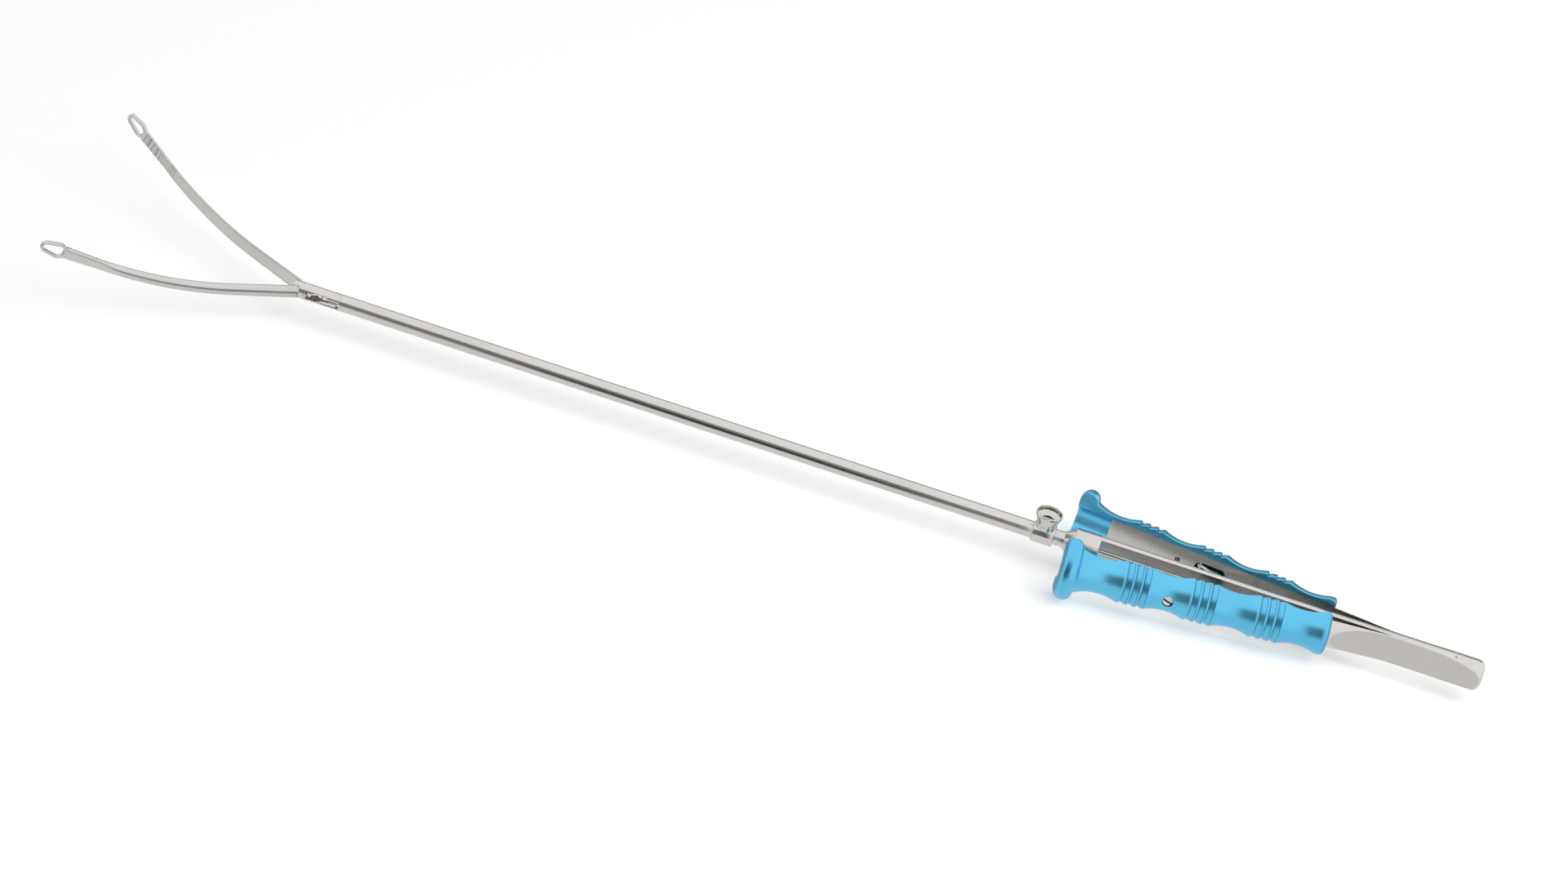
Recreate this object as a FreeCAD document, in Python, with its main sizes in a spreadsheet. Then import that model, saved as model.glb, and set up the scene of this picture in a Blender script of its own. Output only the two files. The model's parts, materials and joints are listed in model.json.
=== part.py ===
# Laparoscopic grasper, 5 mm shaft: spring handle, flush port, double-action ring jaws.
# The shaft lies along X with the jaws at -X and the handle at +X. The jaws and the handle
# open sideways, along Y. Z is up, along the jaw pivot. The origin is on the shaft's axis,
# at the front edge of the head. Sizes are in millimetres and degrees.
import FreeCAD, Part
import math
import os
import Sketcher
from FreeCAD import Placement, Rotation, Vector

doc = FreeCAD.newDocument("grasper")
sheet = doc.addObject("Spreadsheet::Sheet", "Sizes")

driving_sizes = [
    # shaft and head
    ("shaft_diameter", 5.0),
    ("shaft_bore", 3.8),
    ("tube_rear_diameter", 4.6),
    ("weld_bevel_diameter", 4.64),
    ("weld_bevel_length", 0.6),
    ("head_length", 14.5),
    ("spigot_length", 5.0),
    ("ear_notch_depth", 2.0),
    ("ear_notch_height", 4.2),
    ("head_window_front", 4.3),
    ("head_window_height", 2.7),
    ("head_bore_diameter", 4.3),
    ("head_bore_depth", 13.5),
    ("dimple_diameter", 0.5),
    ("dimple_depth", 0.25),
    ("running_fit", 0.03),
    ("close_fit", 0.01),
    ("tool_overrun", 1.0),
    # jaw pivot and the stack of tangs and links between the ears
    ("pivot_station", 3.6),
    ("pivot_diameter", 1.2),
    ("pivot_length", 4.8),
    ("layer_gap", 0.05),
    ("tang_thickness", 0.57),
    ("link_thickness", 0.57),
    ("hub_radius", 1.5),
    ("tang_reach", 2.8),
    ("tang_width", 1.1),
    ("tang_closed_angle", 20.0),
    ("jaw_web_width", 0.75),
    ("jaw_web_overlap", 0.65),
    ("link_pin_diameter", 0.7),
    ("link_eye_radius", 0.85),
    ("front_link_length", 4.54),
    ("front_link_width", 0.9),
    ("open_pivot_clearance", 0.18),
    # jaws
    ("jaw_open_angle", 30.0),
    ("jaw_gap", 0.04),
    ("jaw_body_start", 3.2),
    ("jaw_straight", 22.0),
    ("jaw_bend_radius", 125.0),
    ("jaw_bend_angle", 18.7),
    ("jaw_root_radius", 1.95),
    ("jaw_neck_radius", 1.55),
    ("jaw_pad_start", 3.0),
    ("jaw_pad_width", 3.6),
    ("jaw_head_thickness", 1.3),
    ("ring_rear_station", 15.6),
    ("ring_rear_radius", 2.45),
    ("ring_front_station", 19.55),
    ("ring_front_radius", 1.75),
    ("ring_rim", 0.87),
    ("tooth_count", 12),
    ("tooth_pitch", 0.74),
    ("tooth_groove_width", 0.6),
    ("tooth_depth", 0.22),
    # rod
    ("rod_diameter", 1.9),
    ("rod_guide_fit", 0.05),
    ("front_tongue_rear", 1.1),
    ("rear_tongue_length", 14.0),
    ("rear_tongue_radius", 1.1),
    ("tongue_width", 1.5),
    # flush port
    ("collar_front", 228.9),
    ("collar_length", 6.5),
    ("collar_radius", 3.2),
    ("port_boss_diameter", 6.2),
    ("port_boss_top", 3.6),
    ("port_neck_diameter", 6.1),
    ("port_neck_top", 4.3),
    ("port_flare_top", 6.6),
    ("port_top", 7.4),
    ("port_rim_diameter", 7.9),
    ("port_chamfer_diameter", 5.5),
    ("port_chamfer_depth", 0.8),
    ("port_mouth_diameter", 4.3),
    ("port_seat_diameter", 4.126),
    ("port_seat_length", 2.9),
    ("port_bore_diameter", 2.2),
    # handle core
    ("nose_front", 238.4),
    ("nose_front_radius", 2.6),
    ("nose_cone_length", 2.9),
    ("nose_cone_radius", 4.1),
    ("nose_rear", 248.9),
    ("tube_seat_depth", 6.6),
    ("seal_station", 236.4),
    ("seal_length", 1.6),
    ("handle_radius", 4.65),
    ("bar_thickness", 2.2),
    ("bar_slot_height", 3.2),
    ("bar_slot_margin", 5.0),
    ("butt_end", 366.5),
    ("butt_rounding", 2.4),
    # spring leaves
    ("flex_station", 338.0),
    ("flex_thickness", 0.5),
    ("flex_gap", 0.15),
    ("leaf_gap", 0.05),
    ("leaf_front", 249.5),
    ("scallop_floor_front", 335.0),
    ("scallop_floor_rear", 347.0),
    ("scallop_front_radius", 38.0),
    ("scallop_rear_radius", 70.0),
    ("leaf_window_front", 276.7),
    ("leaf_window_length", 9.7),
    ("leaf_window_height", 4.1),
    ("handle_open_angle", 6.85),
    ("handle_travel", 5.0),
    ("seam_pin_station", 357.4),
    ("seam_pin_diameter", 0.9),
    ("seam_pin_length", 8.6),
    # handle links
    ("leaf_pin_station", 278.3),
    ("leaf_pin_offset", 1.65),
    ("leaf_pin_diameter", 0.8),
    ("leaf_pin_length", 7.4),
    ("leaf_eye_radius", 0.85),
    ("rod_pin_diameter", 1.1),
    ("rod_eye_radius", 1.4),
    ("rear_link_width", 0.9),
    ("rear_link_thickness", 0.75),
    ("rear_pivot_clearance", 0.25),
    # grips
    ("grip_front", 238.65),
    ("grip_tail_length", 2.3),
    ("grip_end_rounding", 1.0),
    ("grip_fit", 0.05),
    ("flange_radius", 10.0),
    ("flange_rim_radius", 2.7),
    ("crest_radius", 6.8),
    ("valley_radius", 5.68),
    ("ridge_start", 257.1),
    ("ridge_group_length", 8.0),
    ("ridge_group_pitch", 20.0),
    ("ridge_group_count", 3),
    ("groove_count", 3),
    ("groove_lead", 0.8),
    ("groove_pitch", 2.6),
    ("groove_width", 1.9),
    ("groove_depth", 0.65),
    ("screw_station", 271.4),
    ("screw_head_diameter", 3.2),
    ("screw_head_height", 1.2),
    ("screw_recess", 0.35),
    ("screw_slot_width", 0.6),
    ("screw_slot_depth", 0.5),
    ("screw_shank_diameter", 1.8),
]

for row, (alias, number) in enumerate(driving_sizes, start=1):
    sheet.set(f"A{row}", alias)
    sheet.set(f"B{row}", str(number))
    sheet.setAlias(f"B{row}", alias)
doc.recompute()


def size(alias):
    return float(sheet.get(alias))


def bind(thing, bindings):
    """Ties each property of an object to a formula of the sheet's sizes."""
    for prop, formula in bindings.items():
        thing.setExpression(prop, formula)
    return thing


# Plain solids. Every number is a formula of sheet sizes.

def round_bar(name, radius, start, length):
    """A cylinder along X."""
    bar = doc.addObject("Part::Cylinder", name)
    bar.Placement = Placement(Vector(), Rotation(Vector(0, 1, 0), 90))
    return bind(bar, {"Radius": radius, "Height": length, "Placement.Base.x": start})


def upright(name, radius, low, height, x):
    """A cylinder along Z."""
    post = doc.addObject("Part::Cylinder", name)
    return bind(post, {"Radius": radius, "Height": height, "Placement.Base.x": x,
                       "Placement.Base.z": low})


def upright_cone(name, low_radius, top_radius, low, height, x):
    """A cone along Z."""
    cone = doc.addObject("Part::Cone", name)
    return bind(cone, {"Radius1": low_radius, "Radius2": top_radius, "Height": height,
                       "Placement.Base.x": x, "Placement.Base.z": low})


def block(name, x, y, z, length, width, height):
    """A box from its lowest corner."""
    body = doc.addObject("Part::Box", name)
    return bind(body, {"Length": length, "Width": width, "Height": height,
                       "Placement.Base.x": x, "Placement.Base.y": y, "Placement.Base.z": z})


def joined(name, *pieces):
    whole = doc.addObject("Part::MultiFuse", name)
    whole.Shapes = list(pieces)
    whole.Refine = True
    return whole


def cut(name, base, *tools):
    result = doc.addObject("Part::Cut", name)
    result.Base = base
    result.Tool = tools[0] if len(tools) == 1 else joined(name + "_tools", *tools)
    result.Refine = True
    return result


def shaped(name, shape, placement=None):
    """A piece whose outline is worked out here, from the same sizes."""
    piece = doc.addObject("Part::Feature", name)
    piece.Shape = shape
    if placement is not None:
        piece.Placement = placement
    return piece


def finish(piece, label):
    piece.Label = label
    nodes.append(piece)
    return piece


nodes = []
side_names = {1: "far", -1: "near"}


def origin_plane(body, role):
    return [item for item in body.Origin.OriginFeatures if item.Role == role][0]


def ring_body(name, outer, inner, length, start):
    """A tube along X: a padded sketch of two circles."""
    body = doc.addObject("PartDesign::Body", name)
    sketch = body.newObject("Sketcher::SketchObject", name + "_section")
    sketch.AttachmentSupport = [(origin_plane(body, "YZ_Plane"), "")]
    sketch.MapMode = "FlatFace"
    for index, diameter in enumerate((outer, inner)):
        circle = Part.Circle(Vector(0, 0, 0), Vector(0, 0, 1), 2.0 / (index + 1))
        edge = sketch.addGeometry(circle, False)
        sketch.addConstraint(Sketcher.Constraint("Coincident", edge, 3, -1, 1))
        rule = sketch.addConstraint(Sketcher.Constraint("Diameter", edge, 4.0 / (index + 1)))
        sketch.setExpression(f"Constraints[{rule}]", diameter)
    pad = body.newObject("PartDesign::Pad", name + "_pad")
    pad.Profile = sketch
    pad.setExpression("Length", length)
    body.setExpression("Placement.Base.x", start)
    return body


# Where the linkage stands. Each moving piece is made where it lies in the photograph's
# state, with the jaws and the handle fully open.

flex_point = Vector(size("flex_station"),
                    size("bar_thickness") / 2 + size("leaf_gap") + size("flex_thickness") / 2, 0)


def lever_point(x, y, angle):
    """Where a point of the closed lever goes when the far lever opens by an angle."""
    turned = Rotation(Vector(0, 0, 1), -angle).multVec(Vector(x, y, 0) - flex_point)
    return flex_point + turned


def lever_placement(side):
    """Opens a lever about its flexure. A near piece is the far one's mirror image."""
    hinge = Vector(flex_point.x, side * flex_point.y, 0)
    return Placement(Vector(), Rotation(Vector(0, 0, 1), -side * size("handle_open_angle")), hinge)


def jaw_placement(side):
    pivot = Vector(size("pivot_station"), 0, 0)
    return Placement(Vector(), Rotation(Vector(0, 0, 1), -side * size("jaw_open_angle")), pivot)


tang_open_angle = size("tang_closed_angle") + size("jaw_open_angle")


def front_rod_pin_x(tang_angle):
    """The rod pin's station for one angle of the tangs from the shaft's axis."""
    along = size("tang_reach") * math.cos(math.radians(tang_angle))
    across = size("tang_reach") * math.sin(math.radians(tang_angle))
    return size("pivot_station") + along + math.sqrt(size("front_link_length") ** 2 - across ** 2)


front_pin_x = front_rod_pin_x(tang_open_angle)
rod_travel = front_rod_pin_x(size("tang_closed_angle")) - front_pin_x
tang_pin_x = size("pivot_station") + size("tang_reach") * math.cos(math.radians(tang_open_angle))
tang_pin_y = size("tang_reach") * math.sin(math.radians(tang_open_angle))

leaf_pin_closed = Vector(size("leaf_pin_station"), size("leaf_pin_offset"), 0)
leaf_pin_open = lever_point(leaf_pin_closed.x, leaf_pin_closed.y, size("handle_open_angle"))
leaf_pin_shut = lever_point(leaf_pin_closed.x, leaf_pin_closed.y,
                            size("handle_open_angle") - size("handle_travel"))


# The handle link is as long as it must be to move the rod by the jaws' own travel. Its
# run is its length along X while open, from run_shut = run_open + gain and
# run_open ** 2 + open.y ** 2 = run_shut ** 2 + shut.y ** 2.
gain = rod_travel - (leaf_pin_shut.x - leaf_pin_open.x)
run_open = (leaf_pin_open.y ** 2 - leaf_pin_shut.y ** 2 - gain ** 2) / (2 * gain)
rear_pin_x = leaf_pin_open.x + run_open
front_pin_at = Vector(front_pin_x, 0, 0)
rear_pin_at = Vector(rear_pin_x, 0, 0)
print(f"rod travel {rod_travel:.3f}, front pin x {front_pin_x:.3f}, rear pin x {rear_pin_x:.3f}")
print(f"leaf pin {leaf_pin_open.x:.3f} {leaf_pin_open.y:.3f}")
print(f"tang pin {tang_pin_x:.3f} {tang_pin_y:.3f}")


# Outer tube, with a narrow bevel where it is welded to the head. Behind the collar's front
# edge it is turned down, so that the collar butts against its shoulder, and it has the
# flush port's hole in its wall.

port_station = "Sizes.collar_front + Sizes.collar_length / 2"
weld_tube = ring_body("weld_tube", "Sizes.weld_bevel_diameter", "Sizes.shaft_bore",
                      "Sizes.weld_bevel_length", "Sizes.head_length")
front_tube = ring_body("front_tube", "Sizes.shaft_diameter", "Sizes.shaft_bore",
                       "Sizes.collar_front - Sizes.head_length - Sizes.weld_bevel_length",
                       "Sizes.head_length + Sizes.weld_bevel_length")
rear_tube = ring_body("rear_tube", "Sizes.tube_rear_diameter", "Sizes.shaft_bore",
                      "Sizes.nose_front + Sizes.tube_seat_depth - Sizes.collar_front",
                      "Sizes.collar_front")
port_hole = upright("port_hole", "Sizes.port_bore_diameter / 2", "0",
                    "Sizes.shaft_diameter", port_station)
finish(cut("outer_tube_solid", joined("plain_tube", weld_tube, front_tube, rear_tube), port_hole),
       "outer_tube")


# Clevis head: front of the shaft, notched at both sides for the jaws, with a window
# on each side for the tangs and links, and a spigot that plugs into the tube

head_barrel = round_bar("head_barrel", "Sizes.shaft_diameter / 2", "0", "Sizes.head_length")
head_spigot = round_bar("head_spigot", "Sizes.shaft_bore / 2 - Sizes.running_fit",
                        "Sizes.head_length", "Sizes.spigot_length")
head_bore = round_bar("head_bore", "Sizes.head_bore_diameter / 2", "0", "Sizes.head_bore_depth")
guide_bore = round_bar("guide_bore", "Sizes.rod_diameter / 2 + Sizes.rod_guide_fit", "0",
                       "Sizes.head_length + Sizes.spigot_length")
front_notch = block("front_notch", "0", "-Sizes.shaft_diameter", "-Sizes.ear_notch_height / 2",
                    "Sizes.ear_notch_depth", "2 * Sizes.shaft_diameter",
                    "Sizes.ear_notch_height")
side_window = block("side_window", "Sizes.head_window_front", "-Sizes.shaft_diameter",
                    "-Sizes.head_window_height / 2",
                    "Sizes.head_length - Sizes.head_window_front",
                    "2 * Sizes.shaft_diameter", "Sizes.head_window_height")
pivot_hole = upright("pivot_hole", "Sizes.pivot_diameter / 2 + Sizes.close_fit",
                     "-Sizes.shaft_diameter", "2 * Sizes.shaft_diameter", "Sizes.pivot_station")
dimples = []
for side, side_name in side_names.items():
    dimple = doc.addObject("Part::Cylinder", side_name + "_dimple")
    dimple.Placement = Placement(Vector(), Rotation(Vector(1, 0, 0), 90))
    outward = "Sizes.shaft_diameter / 2 + Sizes.dimple_depth"
    inward = "-Sizes.shaft_diameter / 2 + Sizes.dimple_depth"
    dimples.append(bind(dimple, {
        "Radius": "Sizes.dimple_diameter / 2", "Height": "2 * Sizes.dimple_depth",
        "Placement.Base.x": "Sizes.pivot_station",
        "Placement.Base.y": outward if side > 0 else inward}))
head_solid = joined("head_solid", head_barrel, head_spigot)
finish(cut("head", head_solid, head_bore, guide_bore, front_notch, side_window, pivot_hole,
           *dimples), "clevis_head")

finish(upright("pivot_pin", "Sizes.pivot_diameter / 2", "-Sizes.pivot_length / 2",
               "Sizes.pivot_length", "Sizes.pivot_station"), "jaw_pivot_pin")


# Outlines worked out from the sheet's sizes

def hull_face(first, first_radius, second, second_radius):
    """A flat face round two circles: two arcs and the lines that touch both."""
    apart = second - first
    heading = math.atan2(apart.y, apart.x)
    spread = math.acos((first_radius - second_radius) / apart.Length)

    def on(centre, radius, angle):
        return centre + Vector(radius * math.cos(angle), radius * math.sin(angle), 0)

    left, right = heading + spread, heading - spread
    back = heading + math.pi
    edges = [
        Part.Arc(on(first, first_radius, left), on(first, first_radius, back),
                 on(first, first_radius, right)).toShape(),
        Part.LineSegment(on(first, first_radius, right),
                         on(second, second_radius, right)).toShape(),
        Part.Arc(on(second, second_radius, right), on(second, second_radius, heading),
                 on(second, second_radius, left)).toShape(),
        Part.LineSegment(on(second, second_radius, left),
                         on(first, first_radius, left)).toShape(),
    ]
    return Part.Face(Part.Wire(edges))


def slab(face, low, height):
    """A face in the XY plane, raised to a height and given a thickness."""
    plate = face.extrude(Vector(0, 0, height))
    plate.translate(Vector(0, 0, low))
    return plate


def disc(centre, radius, low, height):
    return Part.makeCylinder(radius, height, Vector(centre.x, centre.y, low))


def link_plate(first, second, first_eye, second_eye, width, low, height, holes):
    """A dog-bone link: two eyes and a bar between them, with a hole through each eye."""
    plate = slab(hull_face(first, width / 2, second, width / 2), low, height)
    plate = plate.fuse([disc(first, first_eye, low, height),
                        disc(second, second_eye, low, height)])
    drills = [disc(centre, radius, low - height, 3 * height)
              for centre, radius in zip((first, second), holes)]
    return plate.cut(drills).removeSplitter()


# Jaws. Each has a hub on the pivot pin and a tang behind it in its own half of the head,
# a half-round arm that bows upwards, and a toothed pad with an open ring at the tip.

tang_low = size("layer_gap")
tang_top = tang_low + size("tang_thickness")
link_low = tang_top + size("layer_gap")
hub_top = link_low + size("link_thickness")
pivot = Vector(size("pivot_station"), 0, 0)


def layer(side, low, top):
    """The low end and the height of a layer in one jaw's half of the stack."""
    return (low if side > 0 else -top), top - low


def half_disc(centre, outward, along, radius):
    """Half-round section: flat on the inner side, round towards outward."""
    up = along.cross(outward).normalize()
    arc = Part.Arc(centre + up * radius, centre + outward * radius, centre - up * radius)
    flat = Part.LineSegment(centre - up * radius, centre + up * radius)
    return Part.Wire([arc.toShape(), flat.toShape()])


def jaw_shape(side):
    outward = Vector(0, side, 0)
    low, height = layer(side, tang_low, hub_top)
    hub = disc(pivot, size("hub_radius"), low, height)
    web_reach = size("jaw_body_start") + size("jaw_web_overlap")
    web = Part.makeBox(web_reach, size("jaw_web_width") - size("jaw_gap"), height,
                       Vector(pivot.x - web_reach, size("jaw_gap"), low))
    if side < 0:
        web = web.mirror(Vector(), Vector(0, 1, 0))
    tang_angle = math.radians(-side * size("tang_closed_angle"))
    tang_pin = pivot + Vector(math.cos(tang_angle), math.sin(tang_angle), 0) * size("tang_reach")
    low, height = layer(side, tang_low, tang_top)
    half_width = size("tang_width") / 2
    tang = slab(hull_face(pivot, half_width, tang_pin, half_width), low, height)

    # the arm's path: straight, a long bow, and straight again to the tip
    bend = math.radians(size("jaw_bend_angle"))
    radius = size("jaw_bend_radius")
    root = pivot + outward * size("jaw_gap") - Vector(size("jaw_body_start"), 0, 0)
    bow_start = pivot + outward * size("jaw_gap") - Vector(size("jaw_straight"), 0, 0)
    bow_centre = bow_start + Vector(0, 0, radius)
    bow_middle = bow_centre + Vector(-math.sin(bend / 2), 0, -math.cos(bend / 2)) * radius
    bow_end = bow_centre + Vector(-math.sin(bend), 0, -math.cos(bend)) * radius
    ahead = Vector(-math.cos(bend), 0, math.sin(bend))
    neck = bow_end + ahead * (size("jaw_pad_start") + size("jaw_neck_radius"))
    path = Part.Wire([Part.LineSegment(root, bow_start).toShape(),
                      Part.Arc(bow_start, bow_middle, bow_end).toShape(),
                      Part.LineSegment(bow_end, neck).toShape()])
    sweep = Part.BRepOffsetAPI.MakePipeShell(path)
    sweep.add(half_disc(root, outward, Vector(-1, 0, 0), size("jaw_root_radius")))
    sweep.add(half_disc(neck, outward, ahead, size("jaw_neck_radius")))
    sweep.build()
    sweep.makeSolid()
    arm = sweep.shape()

    # the head, drawn flat with its length along X and its inner face at zero height
    thick = size("jaw_head_thickness")
    rear = Vector(size("ring_rear_station"), 0, 0)
    front = Vector(size("ring_front_station"), 0, 0)
    rear_radius = size("ring_rear_radius")
    front_radius = size("ring_front_radius")
    rim = size("ring_rim")
    pad = Part.makeBox(rear.x - size("jaw_pad_start"), size("jaw_pad_width"), thick,
                       Vector(size("jaw_pad_start"), -size("jaw_pad_width") / 2, 0))
    ring = slab(hull_face(rear, rear_radius, front, front_radius), 0, thick)
    opening = slab(hull_face(rear, rear_radius - rim, front, front_radius - rim),
                   -thick, 3 * thick)
    head = pad.fuse(ring).cut(opening)
    teeth = []
    groove_width = size("tooth_groove_width")
    for number in range(int(size("tooth_count"))):
        start = size("jaw_pad_start") + (number + 0.5) * size("tooth_pitch")
        corners = [Vector(start, -rear_radius, 0),
                   Vector(start + groove_width, -rear_radius, 0),
                   Vector(start + groove_width / 2, -rear_radius, size("tooth_depth"))]
        groove = Part.Face(Part.makePolygon(corners + corners[:1]))
        teeth.append(groove.extrude(Vector(0, 2 * rear_radius, 0)))
    if side < 0:
        head = head.mirror(Vector(), Vector(0, 0, 1))
        teeth = [groove.mirror(Vector(), Vector(0, 0, 1)) for groove in teeth]
    across = Vector(math.sin(bend), 0, math.cos(bend))
    seat = Placement(bow_end, Rotation(ahead, across, Vector(0, 1, 0), "XZY"))
    for piece in [head] + teeth:
        piece.Placement = seat.multiply(piece.Placement)
    whole = hub.fuse([web, tang, arm, head]).removeSplitter()
    bores = [disc(pivot, size("pivot_diameter") / 2 + size("running_fit"), -hub_top, 2 * hub_top),
             disc(tang_pin, size("link_pin_diameter") / 2, -hub_top, 2 * hub_top)]
    return whole.cut(bores + teeth)


for side, side_name in side_names.items():
    finish(shaped(side_name + "_jaw_solid", jaw_shape(side), jaw_placement(side)),
           side_name + "_jaw")
    tang_pin = Vector(tang_pin_x, -side * tang_pin_y, 0)
    low, height = layer(side, link_low, hub_top)
    holes = (size("link_pin_diameter") / 2 + size("open_pivot_clearance"),
             size("link_pin_diameter") / 2 + size("running_fit"))
    eye = size("link_eye_radius")
    finish(shaped(side_name + "_jaw_link_solid",
                  link_plate(tang_pin, front_pin_at, eye, eye, size("front_link_width"),
                             low, height, holes)),
           side_name + "_jaw_link")
    low, height = layer(side, tang_low, hub_top)
    finish(shaped(side_name + "_tang_pin_solid",
                  disc(tang_pin, size("link_pin_diameter") / 2, low, height)),
           side_name + "_tang_pin")


# Pull rod: round, with a flat tongue at each end for the link pins

tongue_half = size("tongue_width") / 2
round_start = Vector(front_pin_x + size("front_tongue_rear"), 0, 0)
round_stop = Vector(rear_pin_x + size("rear_tongue_radius") - size("rear_tongue_length"), 0, 0)
rod_bar = Part.makeCylinder(size("rod_diameter") / 2, round_stop.x - round_start.x,
                            round_start, Vector(1, 0, 0))
front_tongue = slab(hull_face(front_pin_at, tongue_half, round_start, tongue_half),
                    -tang_top, 2 * tang_top)
rear_tongue = slab(hull_face(round_stop, tongue_half, rear_pin_at, tongue_half),
                   -tang_top, 2 * tang_top)
rear_boss = disc(rear_pin_at, size("rear_tongue_radius"), -tang_top, 2 * tang_top)
rod_shape = rod_bar.fuse([front_tongue, rear_tongue, rear_boss]).removeSplitter()
rod_shape = rod_shape.cut([
    disc(front_pin_at, size("link_pin_diameter") / 2, -hub_top, 2 * hub_top),
    disc(rear_pin_at, size("rod_pin_diameter") / 2, -hub_top, 2 * hub_top)])
finish(shaped("pull_rod_solid", rod_shape), "pull_rod")
finish(shaped("rod_front_pin_solid",
              disc(front_pin_at, size("link_pin_diameter") / 2, -hub_top, 2 * hub_top)),
       "rod_front_pin")
rear_layer_top = link_low + size("rear_link_thickness")
finish(shaped("rod_rear_pin_solid",
              disc(rear_pin_at, size("rod_pin_diameter") / 2,
                   -rear_layer_top, 2 * rear_layer_top)),
       "rod_rear_pin")


# Flush port: a collar round the shaft with a boss on top, and the female cone hub on the boss

collar_barrel = round_bar("collar_barrel", "Sizes.collar_radius", "Sizes.collar_front",
                          "Sizes.collar_length")
collar_boss = upright("collar_boss", "Sizes.port_boss_diameter / 2", "0", "Sizes.port_boss_top",
                      port_station)
collar_bore = round_bar("collar_bore", "Sizes.tube_rear_diameter / 2 + Sizes.close_fit",
                        "Sizes.collar_front - Sizes.tool_overrun",
                        "Sizes.collar_length + 2 * Sizes.tool_overrun")
collar_port = upright("collar_port", "Sizes.port_bore_diameter / 2", "0",
                      "Sizes.port_top", port_station)
finish(cut("collar", joined("collar_solid", collar_barrel, collar_boss), collar_bore, collar_port),
       "flush_collar")

hub_neck = upright("hub_neck", "Sizes.port_neck_diameter / 2", "Sizes.port_boss_top",
                   "Sizes.port_neck_top - Sizes.port_boss_top", port_station)
hub_flare = upright_cone("hub_flare", "Sizes.port_neck_diameter / 2",
                         "Sizes.port_rim_diameter / 2", "Sizes.port_neck_top",
                         "Sizes.port_flare_top - Sizes.port_neck_top", port_station)
hub_rim = upright("hub_rim", "Sizes.port_rim_diameter / 2", "Sizes.port_flare_top",
                  "Sizes.port_top - Sizes.port_flare_top", port_station)
seat_top = "Sizes.port_top - Sizes.port_chamfer_depth"
hub_seat = upright_cone("hub_seat", "Sizes.port_seat_diameter / 2",
                        "Sizes.port_mouth_diameter / 2", seat_top + " - Sizes.port_seat_length",
                        "Sizes.port_seat_length", port_station)
hub_chamfer = upright_cone("hub_chamfer", "Sizes.port_mouth_diameter / 2",
                           "Sizes.port_chamfer_diameter / 2", seat_top,
                           "Sizes.port_chamfer_depth", port_station)
hub_bore = upright("hub_bore", "Sizes.port_bore_diameter / 2", "0", "Sizes.port_top", port_station)
finish(cut("hub", joined("hub_solid", hub_neck, hub_flare, hub_rim), hub_seat, hub_chamfer,
           hub_bore), "luer_hub")

finish(ring_body("seal", "Sizes.shaft_bore - 2 * Sizes.running_fit",
                 "Sizes.rod_diameter + 2 * Sizes.running_fit", "Sizes.seal_length",
                 "Sizes.seal_station"), "rod_seal")


# Handle core: a turned nose that holds the tube, and the flat slotted bar behind it

nose_cone = doc.addObject("Part::Cone", "nose_cone")
nose_cone.Placement = Placement(Vector(), Rotation(Vector(0, 1, 0), 90))
bind(nose_cone, {"Radius1": "Sizes.nose_front_radius", "Radius2": "Sizes.nose_cone_radius",
                 "Height": "Sizes.nose_cone_length", "Placement.Base.x": "Sizes.nose_front"})
nose_barrel = round_bar("nose_barrel", "Sizes.handle_radius",
                        "Sizes.nose_front + Sizes.nose_cone_length",
                        "Sizes.nose_rear - Sizes.nose_front - Sizes.nose_cone_length")
tube_seat = round_bar("tube_seat", "Sizes.tube_rear_diameter / 2 + Sizes.close_fit",
                      "Sizes.nose_front - Sizes.tool_overrun",
                      "Sizes.tube_seat_depth + Sizes.tool_overrun")
rod_passage = round_bar("rod_passage", "Sizes.rod_diameter / 2 + Sizes.rod_guide_fit",
                        "Sizes.nose_front",
                        "Sizes.nose_rear - Sizes.nose_front + Sizes.tool_overrun")
finish(cut("nose", joined("nose_solid", nose_cone, nose_barrel), tube_seat, rod_passage),
       "handle_nose")

blank_start = size("nose_rear")
blank = Part.makeCylinder(size("handle_radius"), size("butt_end") - blank_start,
                          Vector(blank_start, 0, 0), Vector(1, 0, 0))
rear_rim = [edge for edge in blank.Edges
            if len(edge.Vertexes) == 1 and abs(edge.CenterOfMass.x - size("butt_end")) < 0.001]
blank = blank.makeFillet(size("butt_rounding"), rear_rim)

half_bar = size("bar_thickness") / 2
reach = 2 * size("handle_radius")
bar_zone = Part.makeBox(size("butt_end") - blank_start, 2 * half_bar, 2 * reach,
                        Vector(blank_start, -half_bar, -reach))
slot_rear = rear_pin_x + rod_travel + size("rod_eye_radius") + size("bar_slot_margin")
half_slot = size("bar_slot_height") / 2
slot = Part.makeBox(slot_rear - blank_start, 2 * reach, 2 * half_slot,
                    Vector(blank_start, -reach, -half_slot))
slot_end = Part.makeCylinder(half_slot, 2 * reach, Vector(slot_rear, -reach, 0), Vector(0, 1, 0))
seam_pins = []
for side in side_names:
    seam_pins.append(Part.makeCylinder(size("seam_pin_diameter") / 2, size("seam_pin_length"),
                                       Vector(size("seam_pin_station"), side * half_bar,
                                              -size("seam_pin_length") / 2)))
seam_holes = [Part.makeCylinder(size("seam_pin_diameter") / 2, 2 * reach,
                                Vector(size("seam_pin_station"), side * half_bar, -reach))
              for side in side_names]
bar_shape = blank.common(bar_zone).cut([slot, slot_end] + seam_holes)
finish(shaped("centre_bar_solid", bar_shape), "centre_bar")
finish(shaped("seam_pin_solids", Part.makeCompound(seam_pins)), "seam_pins")


# Spring leaves. The bar and both leaves are parts of one round blank. Behind the grips a
# scallop thins each leaf to its flexure, and its foot lies on the bar.

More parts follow.
